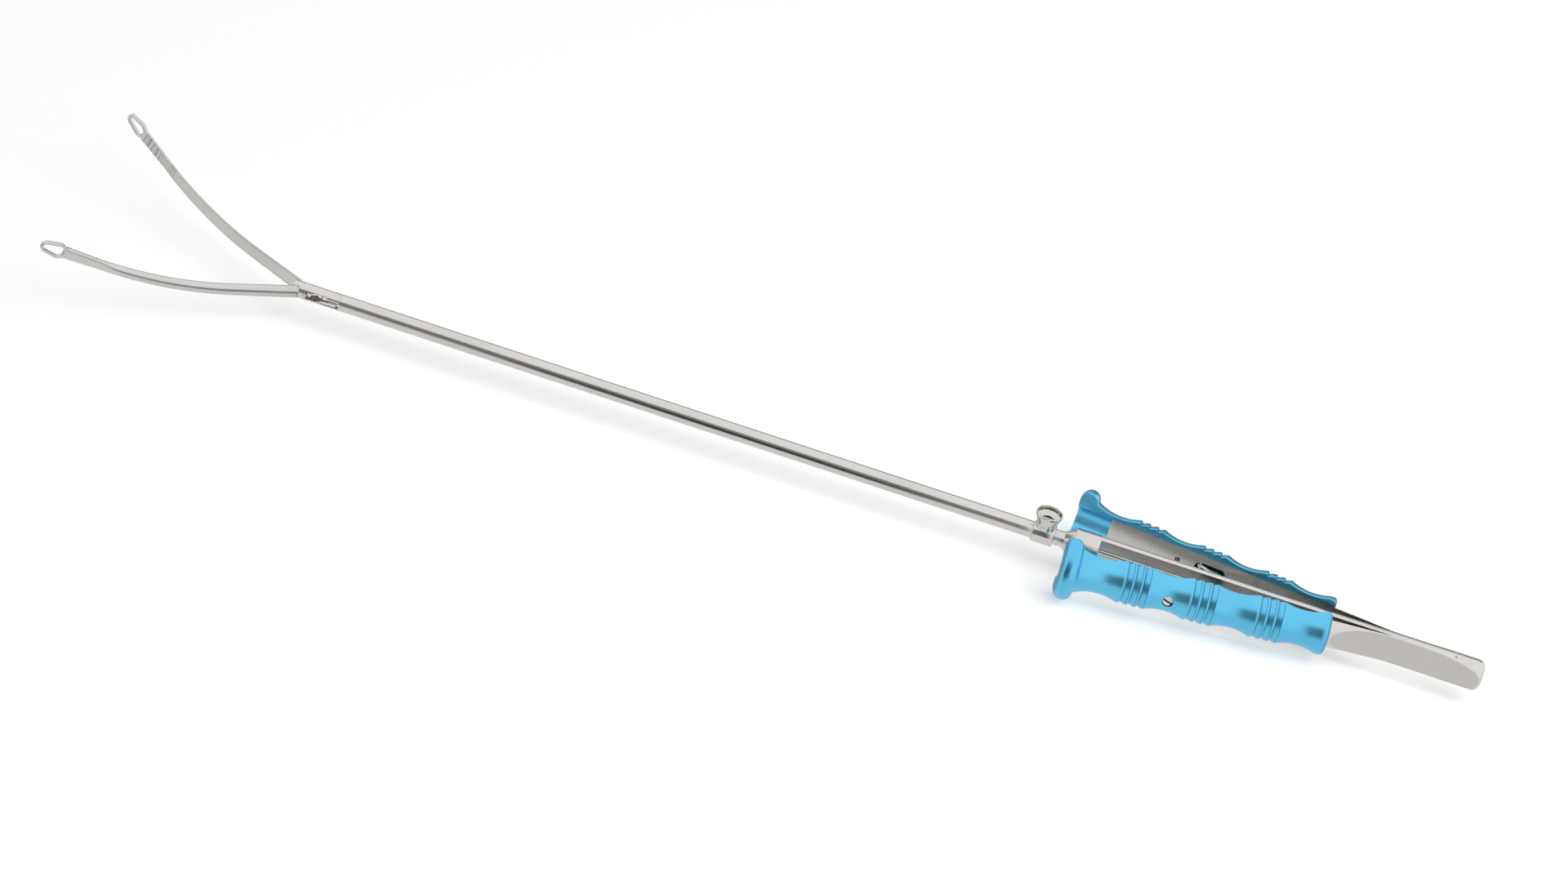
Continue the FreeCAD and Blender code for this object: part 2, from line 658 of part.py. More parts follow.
leaf_inner = half_bar + size("leaf_gap")
scallop_floor = leaf_inner + size("flex_thickness")
floor_front = size("scallop_floor_front")
floor_rear = size("scallop_floor_rear")


def floor_arc(station, radius, heading):
    """An arc that leaves the scallop's floor tangentially and runs up past the blank."""
    rise = size("handle_radius") + size("tool_overrun") - scallop_floor
    turn = math.acos(1 - rise / radius)
    centre = Vector(station, scallop_floor + radius, 0)
    middle = centre + Vector(heading * math.sin(turn / 2), -math.cos(turn / 2), 0) * radius
    end = centre + Vector(heading * math.sin(turn), -math.cos(turn), 0) * radius
    return Part.Arc(Vector(station, scallop_floor, 0), middle, end).toShape(), end


front_arc, front_top = floor_arc(floor_front, size("scallop_front_radius"), -1)
rear_arc, rear_top = floor_arc(floor_rear, size("scallop_rear_radius"), 1)
floor_line = Part.LineSegment(Vector(floor_front, scallop_floor, 0),
                              Vector(floor_rear, scallop_floor, 0)).toShape()
top_line = Part.LineSegment(rear_top, front_top).toShape()
scallop = slab(Part.Face(Part.Wire([front_arc, floor_line, rear_arc, top_line])),
               -reach, 2 * reach)

foot_start = size("flex_station") + size("flex_gap") / 2
foot_zone = Part.makeBox(size("butt_end") - foot_start, reach, 2 * reach,
                         Vector(foot_start, half_bar, -reach))
foot_shape = blank.common(foot_zone).cut([scallop] + seam_holes)

leaf_stop = size("flex_station") - size("flex_gap") / 2
leaf_zone = Part.makeBox(leaf_stop - size("leaf_front"), reach, 2 * reach,
                         Vector(size("leaf_front"), leaf_inner, -reach))
window_radius = size("leaf_window_height") / 2
window_front = Vector(size("leaf_window_front") + window_radius, 0, 0)
window_rear = window_front + Vector(size("leaf_window_length") - 2 * window_radius, 0, 0)
window = slab(hull_face(window_front, window_radius, window_rear, window_radius), 0, -reach)
window.rotate(Vector(), Vector(1, 0, 0), 90)
leaf_pin_hole = disc(leaf_pin_closed, size("leaf_pin_diameter") / 2, -reach, 2 * reach)
screw_hole = Part.makeCylinder(size("screw_shank_diameter") / 2, reach,
                               Vector(size("screw_station"), 0, 0), Vector(0, 1, 0))
leaf_shape = blank.common(leaf_zone).cut([scallop, window, leaf_pin_hole, screw_hole])
leaf_pin_shape = disc(leaf_pin_closed, size("leaf_pin_diameter") / 2,
                      -size("leaf_pin_length") / 2, size("leaf_pin_length"))


# Grips: half-round shells over the leaves, with a flared front flange, three groups of
# ridges with waists between them, and a groove inside that fits the leaf

def grip_profile():
    """The grip's outline as edges, with its length along X and its radius along Z."""
    front = size("grip_front")
    end = (size("ridge_start") + int(size("ridge_group_count")) * size("ridge_group_pitch")
           + size("grip_tail_length"))
    rim = size("flange_rim_radius")
    rim_height = size("flange_radius") - rim
    crest = size("crest_radius")
    valley = size("valley_radius")
    rounding = size("grip_end_rounding")
    edges = []
    here = Vector(front, leaf_inner, 0)

    def line(x, r):
        nonlocal here
        there = Vector(x, leaf_inner, r)
        edges.append(Part.LineSegment(here, there).toShape())
        here = there

    def arc(x_middle, r_middle, x, r):
        nonlocal here
        there = Vector(x, leaf_inner, r)
        edges.append(Part.Arc(here, Vector(x_middle, leaf_inner, r_middle), there).toShape())
        here = there

    line(front, rim_height)
    arc(front + rim, size("flange_radius"), front + 2 * rim, rim_height)
    for group in range(int(size("ridge_group_count")) + 1):
        start = size("ridge_start") + group * size("ridge_group_pitch")
        arc((here.x + start) / 2, valley, start, crest)
        if group == int(size("ridge_group_count")):
            break
        for number in range(int(size("groove_count"))):
            groove = start + size("groove_lead") + number * size("groove_pitch")
            line(groove, crest)
            line(groove, crest - size("groove_depth"))
            line(groove + size("groove_width"), crest)
        line(start + size("ridge_group_length"), crest)
    line(end - rounding, crest)
    inset = rounding * (1 - math.sqrt(0.5))
    arc(end - inset, crest - inset, end, crest - rounding)
    line(end, 0)
    line(front, 0)
    return edges


grip_face = Part.Face(Part.Wire(grip_profile()))
grip_half = grip_face.revolve(Vector(0, leaf_inner, 0), Vector(-1, 0, 0), 180)
leaf_groove = Part.makeCylinder(size("handle_radius") + size("grip_fit"), 2 * size("butt_end"),
                                Vector(0, 0, 0), Vector(1, 0, 0))
along_y = Vector(0, 1, 0)
screw_origin = Vector(size("screw_station"), 0, 0)
head_face = leaf_inner + size("valley_radius") - size("screw_recess")
head_seat = head_face - size("screw_head_height")
head_pocket = Part.makeCylinder(size("screw_head_diameter") / 2 + size("grip_fit"), reach,
                                screw_origin + along_y * head_seat, along_y)
shank_hole = Part.makeCylinder(size("screw_shank_diameter") / 2 + size("grip_fit"), reach,
                               screw_origin, along_y)
grip_shape = grip_half.cut([leaf_groove, head_pocket, shank_hole])

screw_head = Part.makeCylinder(size("screw_head_diameter") / 2, size("screw_head_height"),
                               screw_origin + along_y * head_seat, along_y)
shank = Part.makeCylinder(size("screw_shank_diameter") / 2, head_seat - leaf_inner,
                          screw_origin + along_y * leaf_inner, along_y)
driver_slot = Part.makeBox(2 * size("screw_head_diameter"), size("screw_slot_depth"),
                           size("screw_slot_width"),
                           Vector(size("screw_station") - size("screw_head_diameter"),
                                  head_face - size("screw_slot_depth"),
                                  -size("screw_slot_width") / 2))
screw_shape = screw_head.fuse(shank).removeSplitter().cut(driver_slot)


def both_sides(label, far_shape, moving):
    """Makes a far piece and its mirror image, opened with the levers if they move."""
    for side, side_name in side_names.items():
        shape = far_shape if side > 0 else far_shape.mirror(Vector(), Vector(0, 1, 0))
        placement = lever_placement(side) if moving else None
        finish(shaped(f"{side_name}_{label}_solid", shape, placement), f"{side_name}_{label}")


both_sides("leaf_foot", foot_shape, False)
both_sides("leaf", leaf_shape, True)
both_sides("grip", grip_shape, True)
both_sides("grip_screw", screw_shape, True)
both_sides("leaf_pin", leaf_pin_shape, True)

for side, side_name in side_names.items():
    leaf_pin = Vector(leaf_pin_open.x, side * leaf_pin_open.y, 0)
    low, height = layer(side, link_low, rear_layer_top)
    holes = (size("leaf_pin_diameter") / 2 + size("running_fit"),
             size("rod_pin_diameter") / 2 + size("rear_pivot_clearance"))
    finish(shaped(side_name + "_handle_link_solid",
                  link_plate(leaf_pin, rear_pin_at, size("leaf_eye_radius"),
                             size("rod_eye_radius"), size("rear_link_width"),
                             low, height, holes)),
           side_name + "_handle_link")


# Checks, and one STEP file for each piece

doc.recompute()
faults = []
for thing in doc.Objects:
    if "Invalid" in thing.State or "Error" in thing.State:
        faults.append(f"{thing.Name}: {thing.State}")
for piece in nodes:
    if piece.Shape.isNull() or not piece.Shape.isValid() or not piece.Shape.Solids:
        faults.append(f"{piece.Label}: bad shape")
if faults:
    raise RuntimeError("; ".join(faults))

os.makedirs("parts", exist_ok=True)
for piece in nodes:
    piece.Shape.exportStep(f"parts/{piece.Label}.step")
    box = piece.Shape.BoundBox
    print(f"{piece.Label:18s} {len(piece.Shape.Solids)} solid(s) {piece.Shape.Volume:9.2f} mm3"
          f"  x {box.XMin:7.2f} {box.XMax:7.2f}  y {box.YMin:6.2f} {box.YMax:6.2f}"
          f"  z {box.ZMin:6.2f} {box.ZMax:6.2f}")
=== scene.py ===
import json
import math
import bmesh
import bpy
import numpy as np
from mathutils import Matrix, Vector


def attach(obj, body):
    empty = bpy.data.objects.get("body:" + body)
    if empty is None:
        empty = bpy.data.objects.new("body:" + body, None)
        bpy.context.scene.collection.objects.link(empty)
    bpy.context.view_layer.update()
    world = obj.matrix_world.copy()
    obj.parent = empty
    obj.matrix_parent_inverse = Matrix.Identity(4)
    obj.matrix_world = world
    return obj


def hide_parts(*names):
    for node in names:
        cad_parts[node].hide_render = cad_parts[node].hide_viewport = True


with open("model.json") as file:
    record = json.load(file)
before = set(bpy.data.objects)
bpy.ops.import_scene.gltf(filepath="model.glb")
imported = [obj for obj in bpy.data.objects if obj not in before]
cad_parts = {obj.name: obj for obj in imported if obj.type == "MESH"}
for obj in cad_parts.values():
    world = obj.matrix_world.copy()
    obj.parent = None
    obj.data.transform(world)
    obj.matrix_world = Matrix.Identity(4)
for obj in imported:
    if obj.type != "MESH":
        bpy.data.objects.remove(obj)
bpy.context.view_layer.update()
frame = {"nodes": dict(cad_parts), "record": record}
nodes = frame["nodes"]
scene = bpy.context.scene
mm = 0.001
squareCorners = ((-1, -1), (1, -1), (1, 1), (-1, 1))


# a new object, linked to the scene
def newObject(name, data):
    item = bpy.data.objects.new(name, data)
    scene.collection.objects.link(item)
    return item


# the camera stands where the photograph was taken from
cameraSetup = {
    "lens": 127.3, "sensor": 36.0, "nearest": 0.01, "farthest": 100.0,
    "place": (0.2299, -1.3728, 0.8685),
    "right": (0.94916, 0.20495, 0.23899), "up": (-0.31112, 0.49439, 0.81167),
    "ahead": (-0.04819, 0.84473, -0.53300)}

cameraData = bpy.data.cameras.new("photoCamera")
cameraData.lens = cameraSetup["lens"]
cameraData.sensor_width = cameraSetup["sensor"]
cameraData.clip_start = cameraSetup["nearest"]
cameraData.clip_end = cameraSetup["farthest"]
camera = newObject("photoCamera", cameraData)
turn = Matrix([cameraSetup["right"], cameraSetup["up"], -Vector(cameraSetup["ahead"])])
camera.matrix_world = Matrix.Translation(cameraSetup["place"]) @ turn.transposed().to_4x4()
scene.camera = camera
scene.view_settings.view_transform = "Standard"
print("camera placed")


# Materials: each finish is a small tree of nodes on Object coordinates

# a material with nodes, its tree and its shader
def newMaterial(name):
    material = bpy.data.materials.new(name)
    material.use_nodes = True
    return material, material.node_tree, material.node_tree.nodes["Principled BSDF"]


# noise at the point times stretch, with its size in features per metre
def placedNoise(tree, size, stretch, detail):
    place = tree.nodes.new("ShaderNodeTexCoord")
    mapping = tree.nodes.new("ShaderNodeMapping")
    mapping.inputs["Scale"].default_value = stretch
    noise = tree.nodes.new("ShaderNodeTexNoise")
    noise.inputs["Scale"].default_value = size
    noise.inputs["Detail"].default_value = detail
    tree.links.new(place.outputs["Object"], mapping.inputs["Vector"])
    tree.links.new(mapping.outputs["Vector"], noise.inputs["Vector"])
    return noise.outputs["Fac"]


# low + (high - low) * (value - fromLow) / (fromHigh - fromLow), kept between low and high;
# most of a noise lies between the default ends
def spread(tree, source, low, high, fromLow=0.3, fromHigh=0.7):
    node = tree.nodes.new("ShaderNodeMapRange")
    for socket, value in (("From Min", fromLow), ("From Max", fromHigh),
                          ("To Min", low), ("To Max", high)):
        node.inputs[socket].default_value = value
    tree.links.new(source, node.inputs["Value"])
    return node.outputs["Result"]


# first * (1 - factor) + second * factor, where a colour is three numbers or a socket
def mixColours(tree, factor, first, second):
    node = tree.nodes.new("ShaderNodeMix")
    node.data_type = "RGBA"
    tree.links.new(factor, node.inputs[0])
    for socket, colour in ((node.inputs[6], first), (node.inputs[7], second)):
        if isinstance(colour, tuple):
            socket.default_value = (*colour, 1.0)
        else:
            tree.links.new(colour, socket)
    return node.outputs[2]


# two values added or multiplied, where each is a number or a socket
def computed(tree, operation, first, second, clamp=False):
    node = tree.nodes.new("ShaderNodeMath")
    node.operation = operation
    node.use_clamp = clamp
    for socket, value in zip(node.inputs, (first, second)):
        if isinstance(value, float):
            socket.default_value = value
        else:
            tree.links.new(value, socket)
    return node.outputs["Value"]


# A worn metal: fine grain along one direction in bump and roughness, cloudy tone from
# handling, and sparse scratches that catch the light. Where the look has a shade tone, the
# mesh's depth attribute mixes towards it, 0 keeping the colour and 1 giving the full tone:
# this is painted shade in grooves, notches, recesses and on faces that face other parts, and
# it darkens the scallop's face and the seam pins' ends.
def metalFinish(name, look):
    material, tree, shader = newMaterial(name)
    grain = placedNoise(tree, look["grainSize"], look["grainStretch"], look["grainDetail"])
    cloud = placedNoise(tree, look["cloudSize"], (1.0, 1.0, 1.0), look["cloudDetail"])
    scratch = placedNoise(tree, look["scratchSize"], look["scratchStretch"],
                          look["scratchDetail"])
    tone = mixColours(tree, spread(tree, cloud, 0.0, 1.0), look["light"], look["dark"])
    worn = spread(tree, scratch, 0.0, look["scratchDepth"], *look["scratchRange"])
    colour = mixColours(tree, worn, tone, look["scratch"])
    # painted shade: the depth attribute mixes the colour towards the dark shade tone
    if "shadeTone" in look:
        depth = tree.nodes.new("ShaderNodeAttribute")
        depth.attribute_name = "depth"
        colour = mixColours(tree, depth.outputs["Fac"], colour, look["shadeTone"])
    tree.links.new(colour, shader.inputs["Base Color"])
    shader.inputs["Metallic"].default_value = look["metallic"]
    rough = spread(tree, grain, look["roughness"] - look["roughRange"],
                   look["roughness"] + look["roughRange"])
    tree.links.new(rough, shader.inputs["Roughness"])
    bump = tree.nodes.new("ShaderNodeBump")
    bump.inputs["Strength"].default_value = look["bump"]
    bump.inputs["Distance"].default_value = look["bumpDistance"]
    tree.links.new(grain, bump.inputs["Height"])
    tree.links.new(bump.outputs["Normal"], shader.inputs["Normal"])
    return material


steelLook = {
    "light": (0.74, 0.72, 0.69), "dark": (0.66, 0.645, 0.62), "scratch": (0.82, 0.80, 0.78),
    "metallic": 1.0, "roughness": 0.24, "roughRange": 0.025, "bump": 0.05,
    "bumpDistance": 0.00002, "grainSize": 1400.0, "grainStretch": (0.15, 3.0, 3.0),
    "grainDetail": 4.0, "cloudSize": 55.0, "cloudDetail": 2.0, "scratchSize": 260.0,
    "scratchStretch": (0.2, 2.2, 2.2), "scratchDetail": 2.0, "scratchRange": (0.68, 0.76),
    "scratchDepth": 0.5}
finishes = {
    "tube_steel": metalFinish("tubeSteel", {**steelLook, "cloudSize": 30.0}),
    "head_steel": metalFinish("headSteel", {**steelLook, "roughness": 0.22}),
    "jaw_steel": metalFinish("jawSteel", {
        **steelLook, "light": (0.70, 0.685, 0.66), "dark": (0.62, 0.605, 0.58),
        "roughness": 0.30, "grainSize": 1200.0, "grainStretch": (0.6, 1.0, 1.0),
        "shadeTone": (0.16, 0.155, 0.145)}),
    "port_steel": metalFinish("portSteel", {
        **steelLook, "roughness": 0.15, "grainStretch": (1.0, 1.0, 3.0), "bump": 0.06}),
    "handle_steel": metalFinish("handleSteel", {
        **steelLook, "light": (0.76, 0.74, 0.71), "dark": (0.68, 0.66, 0.635),
        "roughness": 0.26, "grainStretch": (0.12, 3.0, 3.0), "shadeTone": (0.62, 0.60, 0.565)}),
    "pin_steel": metalFinish("pinSteel", {
        **steelLook, "light": (0.80, 0.78, 0.76), "roughness": 0.14, "bump": 0.05,
        "grainStretch": (1.0, 1.0, 1.0), "shadeTone": (0.05, 0.045, 0.04)}),
    "blue_anodised": metalFinish("blueAnodised", {
        **steelLook, "light": (0.165, 0.64, 0.93), "dark": (0.14, 0.57, 0.87),
        "scratch": (0.34, 0.76, 0.95), "roughness": 0.32, "roughRange": 0.04, "bump": 0.08,
        "grainSize": 1500.0, "grainStretch": (1.0, 1.0, 1.0), "cloudSize": 70.0,
        "scratchDepth": 0.25, "shadeTone": (0.006, 0.03, 0.07)}),
    "seal_rubber": metalFinish("sealRubber", {
        **steelLook, "light": (0.022, 0.022, 0.023), "dark": (0.014, 0.014, 0.015),
        "scratch": (0.03, 0.03, 0.03), "metallic": 0.0, "roughness": 0.55, "bump": 0.2,
        "grainStretch": (1.0, 1.0, 1.0)}),
}
slotOfNode = {part["node"]: part["material_slot"] for part in frame["record"]["subparts"]}
for name, node in nodes.items():
    node.data.materials.clear()
    node.data.materials.append(finishes[slotOfNode[name]])
print("materials made")


# Floor, world and lights

stageSetup = {
    "floorHeight": -10.0, "floorReach": 6.0, "floorGlow": 0.44, "floorGrey": 0.62,
    "keyPlace": (0.85, -0.32, 1.1), "keyAim": (0.15, 0.0, 0.0), "keySize": 1.6, "keyPower": 21.0,
    "fillStrength": 0.35, "lowTone": 0.82, "horizon": (-0.3, 0.05),
    "cardTint": (1.0, 0.97, 0.93, 1.0)}
# cards by bearing and climb in degrees as seen from the point "eye" on the shaft's axis, with
# the tone at the left edge, at the bearing "peak" and at the right edge
darkCards = {
    "darkCard": {"eye": 0.2, "distance": -3.0, "left": -60.0, "peak": -9.0, "right": 7.0,
                 "low": -9.0, "high": 39.0, "tones": (0.05, 0.26, 0.03)},
    "sideCard": {"eye": -0.03, "distance": -0.12, "left": 34.0, "peak": 48.0, "right": 62.0,
                 "low": -14.0, "high": 10.0, "tones": (0.12, 0.03, 0.02)},
    "backCard": {"eye": 0.2, "distance": 3.0, "left": -75.0, "peak": -10.0, "right": 24.0,
                 "low": -50.0, "high": 22.0, "tones": (0.25, 0.45, 0.08)}}


# a rough grey material without a sheen
def dullMaterial(name, grey):
    material, tree, shader = newMaterial(name)
    shader.inputs["Base Color"].default_value = (grey, grey, grey, 1.0)
    shader.inputs["Roughness"].default_value = 1.0
    shader.inputs["Specular IOR Level"].default_value = 0.0
    return material, tree, shader


# one flat face of the stage, attached to none of the part's bodies
def stageObject(name, corners, material):
    mesh = bpy.data.meshes.new(name)
    mesh.from_pydata(corners, [], [(0, 1, 2, 3)])
    mesh.materials.append(material)
    item = newObject(name, mesh)
    return item


# 1 where the camera, a reflection or a refraction looks, and 0 for the light that falls
# on things: the sum of the three kinds of ray, kept at or under 1
def seenDirectly(tree):
    path = tree.nodes.new("ShaderNodeLightPath")
    total = path.outputs["Is Camera Ray"]
    for ray in ("Is Glossy Ray", "Is Transmission Ray"):
        total = computed(tree, "ADD", total, path.outputs[ray], True)
    return total


floorMaterial, tree, shader = dullMaterial("paleFloor", stageSetup["floorGrey"])
glow = computed(tree, "MULTIPLY", seenDirectly(tree), stageSetup["floorGlow"])
tree.links.new(glow, shader.inputs["Emission Strength"])
shader.inputs["Emission Color"].default_value = (1.0, 1.0, 1.0, 1.0)
reach, height = stageSetup["floorReach"], stageSetup["floorHeight"] * mm
floor = stageObject("paleFloor", [(x * reach, y * reach, height) for x, y in squareCorners],
                    floorMaterial)
floor.visible_glossy = False

world = bpy.data.worlds.new("studio")
scene.world = world
world.use_nodes = True
tree = world.node_tree
seen = seenDirectly(tree)
blend = tree.nodes.new("ShaderNodeMix")
blend.data_type = "FLOAT"
blend.inputs[2].default_value = stageSetup["fillStrength"]
heading = tree.nodes.new("ShaderNodeTexCoord")
climb = tree.nodes.new("ShaderNodeSeparateXYZ")
tree.links.new(heading.outputs["Generated"], climb.inputs["Vector"])
tone = spread(tree, climb.outputs["Z"], stageSetup["lowTone"], 1.0, *stageSetup["horizon"])
tree.links.new(tone, blend.inputs[3])
tree.links.new(seen, blend.inputs[0])
tree.links.new(blend.outputs[0], tree.nodes["Background"].inputs["Strength"])
tree.nodes["Background"].inputs["Color"].default_value = (1.0, 1.0, 1.0, 1.0)

keyData = bpy.data.lights.new("softKey", "AREA")
keyData.shape = "SQUARE"
keyData.size = stageSetup["keySize"]
keyData.energy = stageSetup["keyPower"]
key = newObject("softKey", keyData)
key.location = stageSetup["keyPlace"]
aim = Vector(stageSetup["keyAim"]) - Vector(stageSetup["keyPlace"])
key.rotation_mode = "QUATERNION"
key.rotation_quaternion = aim.to_track_quat("-Z", "Y")
key.visible_glossy = False

# Dark cards that only reflections see, as a studio's unlit walls are. An edge at a bearing
# lies at eye + distance * tan(bearing) along x, and one at a climb lies at
# distance / cos(middle bearing) * tan(climb) in height.
for name, look in darkCards.items():
    material, tree, shader = dullMaterial(name, 0.0)
    shader.inputs["Emission Color"].default_value = stageSetup["cardTint"]
    distance = abs(look["distance"])
    bearings = [look["eye"] + distance * math.tan(math.radians(look[edge]))
                for edge in ("left", "peak", "right")]
    slant = math.hypot(1.0, math.tan(math.radians(look["left"] + look["right"]) / 2))
    climbs = [distance * slant * math.tan(math.radians(look[edge])) for edge in ("low", "high")]
    place = tree.nodes.new("ShaderNodeTexCoord")
    split = tree.nodes.new("ShaderNodeSeparateXYZ")
    tree.links.new(place.outputs["Object"], split.inputs["Vector"])
    leftTone, peakTone, rightTone = look["tones"]
    rise = spread(tree, split.outputs["X"], leftTone, peakTone, *bearings[:2])
    fall = spread(tree, split.outputs["X"], 0.0, rightTone - peakTone, *bearings[1:])
    tree.links.new(computed(tree, "ADD", rise, fall), shader.inputs["Emission Strength"])
    corners = [(bearings[edge], look["distance"], climbs[end])
               for edge, end in ((0, 0), (2, 0), (2, 1), (0, 1))]
    card = stageObject(name, corners, material)
    card.visible_camera = card.visible_diffuse = card.visible_shadow = False
    card.visible_transmission = card.visible_volume_scatter = False
print("stage lit")


# Shapes. A piece is one or more grids of points in millimetres, shaped rows x columns x 3.
# Grids that touch share their border points, which are merged, so each piece is closed.
# In the lists of radii a 0 leaves a corner sharp.

meshSetup = {"merge": 0.0012, "sliver": 0.0005, "sharp": 32.0}


# quads between neighbouring points of a grid whose numbering starts at first
def gridFaces(rows, columns, first):
    index = first + np.arange(rows * columns).reshape(rows, columns)
    corners = [index[:-1, :-1], index[:-1, 1:], index[1:, 1:], index[1:, :-1]]
    return np.stack(corners, -1).reshape(-1, 4)


# the grids' points in metres and their quads as one closed mesh, whose faces point outwards;
# the shades are the depth attribute of each point
def meshFromGrids(name, grids, shades=None):
    points, faces, first = [], [], 0
    for grid in grids:
        rows, columns = grid.shape[:2]
        points.append(grid.reshape(-1, 3))
        faces.append(gridFaces(rows, columns, first))
        first += rows * columns
    mesh = bpy.data.meshes.new(name)
    mesh.from_pydata((np.concatenate(points) * mm).tolist(), [], np.concatenate(faces).tolist())
    if shades:
        writeDepth(mesh, "POINT", np.concatenate([np.ravel(shade) for shade in shades]))
    shell = bmesh.new()
    shell.from_mesh(mesh)
    bmesh.ops.remove_doubles(shell, verts=shell.verts, dist=meshSetup["merge"] * mm)
    bmesh.ops.dissolve_degenerate(shell, edges=shell.edges, dist=meshSetup["sliver"] * mm)
    bmesh.ops.recalc_face_normals(shell, faces=shell.faces)
    shell.to_mesh(mesh)
    shell.free()
    return mesh


# one value, or a few, for each of a mesh's items, as an array
def readValues(items, field, kind=float, width=1):
    values = np.empty(len(items) * width, dtype=kind)
    items.foreach_get(field, values)
    return values.reshape(-1, width) if width > 1 else values


# the attribute that the finishes read, painted shade and the darker scallop face and seam pin
# ends: 0 keeps the colour and 1 gives the full shade tone
def writeDepth(mesh, domain, values):
    mesh.attributes.new("depth", "FLOAT", domain).data.foreach_set("value", values)


# joins or cuts one mesh with others
def combined(mesh, others, operation):
    base = newObject("work", mesh)
    tools = [newObject("tool", other) for other in others]
    for tool in tools:
        step = base.modifiers.new("step", "BOOLEAN")
        step.operation, step.solver, step.object = operation, "EXACT", tool
    bpy.context.view_layer.update()
    result = bpy.data.meshes.new_from_object(base.evaluated_get(
        bpy.context.evaluated_depsgraph_get()))
    for item in tools + [base]:
        bpy.data.objects.remove(item)
    return result


# the finished piece: smooth but for edges sharper than an angle, with its finish and body
def finishPiece(name, mesh, body, replaced, slot, sharp=meshSetup["sharp"]):
    mesh.name = name
    mesh.shade_smooth()
    mesh.set_sharp_from_angle(angle=math.radians(sharp))
    mesh.materials.clear()
    mesh.materials.append(finishes[slot])
    piece = newObject(name, mesh)
    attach(piece, body)
    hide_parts(*replaced)
    return piece


# Each corner of a closed outline becomes an arc that touches both of its sides. Its centre
# lies on the bisector at radius / sin(half the corner's angle), and its points swing from
# one side to the other by sin((1 - share) * sweep) and sin(share * sweep) over sin(sweep).
# The two tiny numbers keep a straight corner from dividing by zero.
def roundedOutline(corners, radii, steps=6):
    corners = np.asarray(corners, float)
    radii = np.broadcast_to(np.asarray(radii, float), len(corners))[:, None]
    back = np.roll(corners, 1, 0) - corners
    ahead = np.roll(corners, -1, 0) - corners
    back /= np.linalg.norm(back, axis=1, keepdims=True)
    ahead /= np.linalg.norm(ahead, axis=1, keepdims=True)
    half = np.arccos(np.clip((back * ahead).sum(1, keepdims=True), -1, 1)) / 2
    middle = back + ahead
    middle /= np.maximum(np.linalg.norm(middle, axis=1, keepdims=True), 1e-9)
    centre = corners + middle * radii / np.sin(half)
    start = corners + back * radii / np.tan(half) - centre
    end = corners + ahead * radii / np.tan(half) - centre
    sweep = np.maximum(np.pi - 2 * half, 1e-6)[:, None]
    share = np.linspace(0, 1, steps)[None, :, None]
    arcs = (np.sin((1 - share) * sweep) * start[:, None]
            + np.sin(share * sweep) * end[:, None]) / np.sin(sweep)
    outline = (centre[:, None] + arcs).reshape(-1, corners.shape[1])
    return np.concatenate([outline, outline[:1]])


# the same for corners that name two sizes of a dictionary and, where it is round, a radius
def namedOutline(sizes, corners, steps=6):
    named = [[sizes[word] for word in corner.split()] for corner in corners]
    return roundedOutline([corner[:2] for corner in named],
                          [(corner + [0.0])[2] for corner in named], steps)


# a closed profile of (station, radius) turned about an axis: radius times cos and sin
def turned(profile, axis="X", centre=(0.0, 0.0), steps=96):
    angle = np.linspace(0, 2 * np.pi, steps + 1)
    station = np.repeat(profile[:, :1], steps + 1, axis=1)
    first = centre[0] + profile[:, 1:] * np.cos(angle)
    second = centre[1] + profile[:, 1:] * np.sin(angle)
    order = [station, first, second] if axis == "X" else [first, second, station]
    return np.stack(order, -1)


# an upright wall round a flat outline, closed by fans to the outline's middle
def prism(outline, low, high, axis="Z"):
    middle = np.repeat(outline[:-1].mean(0)[None], len(outline), axis=0)
    layers = [(middle, low), (outline, low), (outline, high), (middle, high)]
    grid = np.stack([np.column_stack([flat, np.full(len(flat), level)])
                     for flat, level in layers])
    return yFirst(grid) if axis == "Y" else grid


# a shape made about the z axis, with its y and z changed over, so that it stands along y
def yFirst(grid):
    return grid[..., [0, 2, 1]]


# the edge of two circles and the lines that touch both, as centre + radius * direction, with
# a number of steps on each circle
def hullOutline(first, firstRadius, second, secondRadius, steps=48):
    first, second = np.asarray(first, float), np.asarray(second, float)
    apart = second - first
    heading = math.atan2(apart[1], apart[0])
    spreadAngle = math.acos((firstRadius - secondRadius) / np.hypot(*apart))
    onSecond = heading + np.linspace(-spreadAngle, spreadAngle, steps)
    onFirst = heading + np.linspace(spreadAngle, 2 * math.pi - spreadAngle, steps)
    direction = np.concatenate([onSecond, onFirst, onSecond[:1]])
    counts = [steps, steps, 1]
    centre = np.repeat([second, first, second], counts, 0)
    radius = np.repeat([secondRadius, firstRadius, secondRadius], counts)
    normal = np.stack([np.cos(direction), np.sin(direction)], -1)
    return centre, radius[:, None], normal


# turns points about an upright line at (x, y), by degrees
def turnedAbout(points, x, y, degrees):
    angle = math.radians(degrees)
    dx, dy = points[..., 0] - x, points[..., 1] - y
    return np.stack([x + dx * math.cos(angle) - dy * math.sin(angle),
                     y + dx * math.sin(angle) + dy * math.cos(angle), points[..., 2]], -1)


# A far piece is worked out closed. The near one is its mirror image in y, and both are
# opened about their own hinge.
handleHinge = {"x": 338.0, "y": 1.40, "open": 6.85}
jawHinge = {"x": 3.6, "y": 0.0, "open": 30.0}


# y times the side, 1 for far and -1 for near, then turned open about the side's hinge
def placed(points, side, hinge):
    flipped = points * np.array([1.0, side, 1.0])
    return turnedAbout(flipped, hinge["x"], side * hinge["y"], -side * hinge["open"])


# the reverse for a finished mesh: its points in millimetres, closed and on the far side
def unplaced(mesh, side, hinge):
    points = readValues(mesh.vertices, "co", width=3) / mm
    closed = turnedAbout(points, hinge["x"], side * hinge["y"], side * hinge["open"])
    return closed * np.array([1.0, side, 1.0])


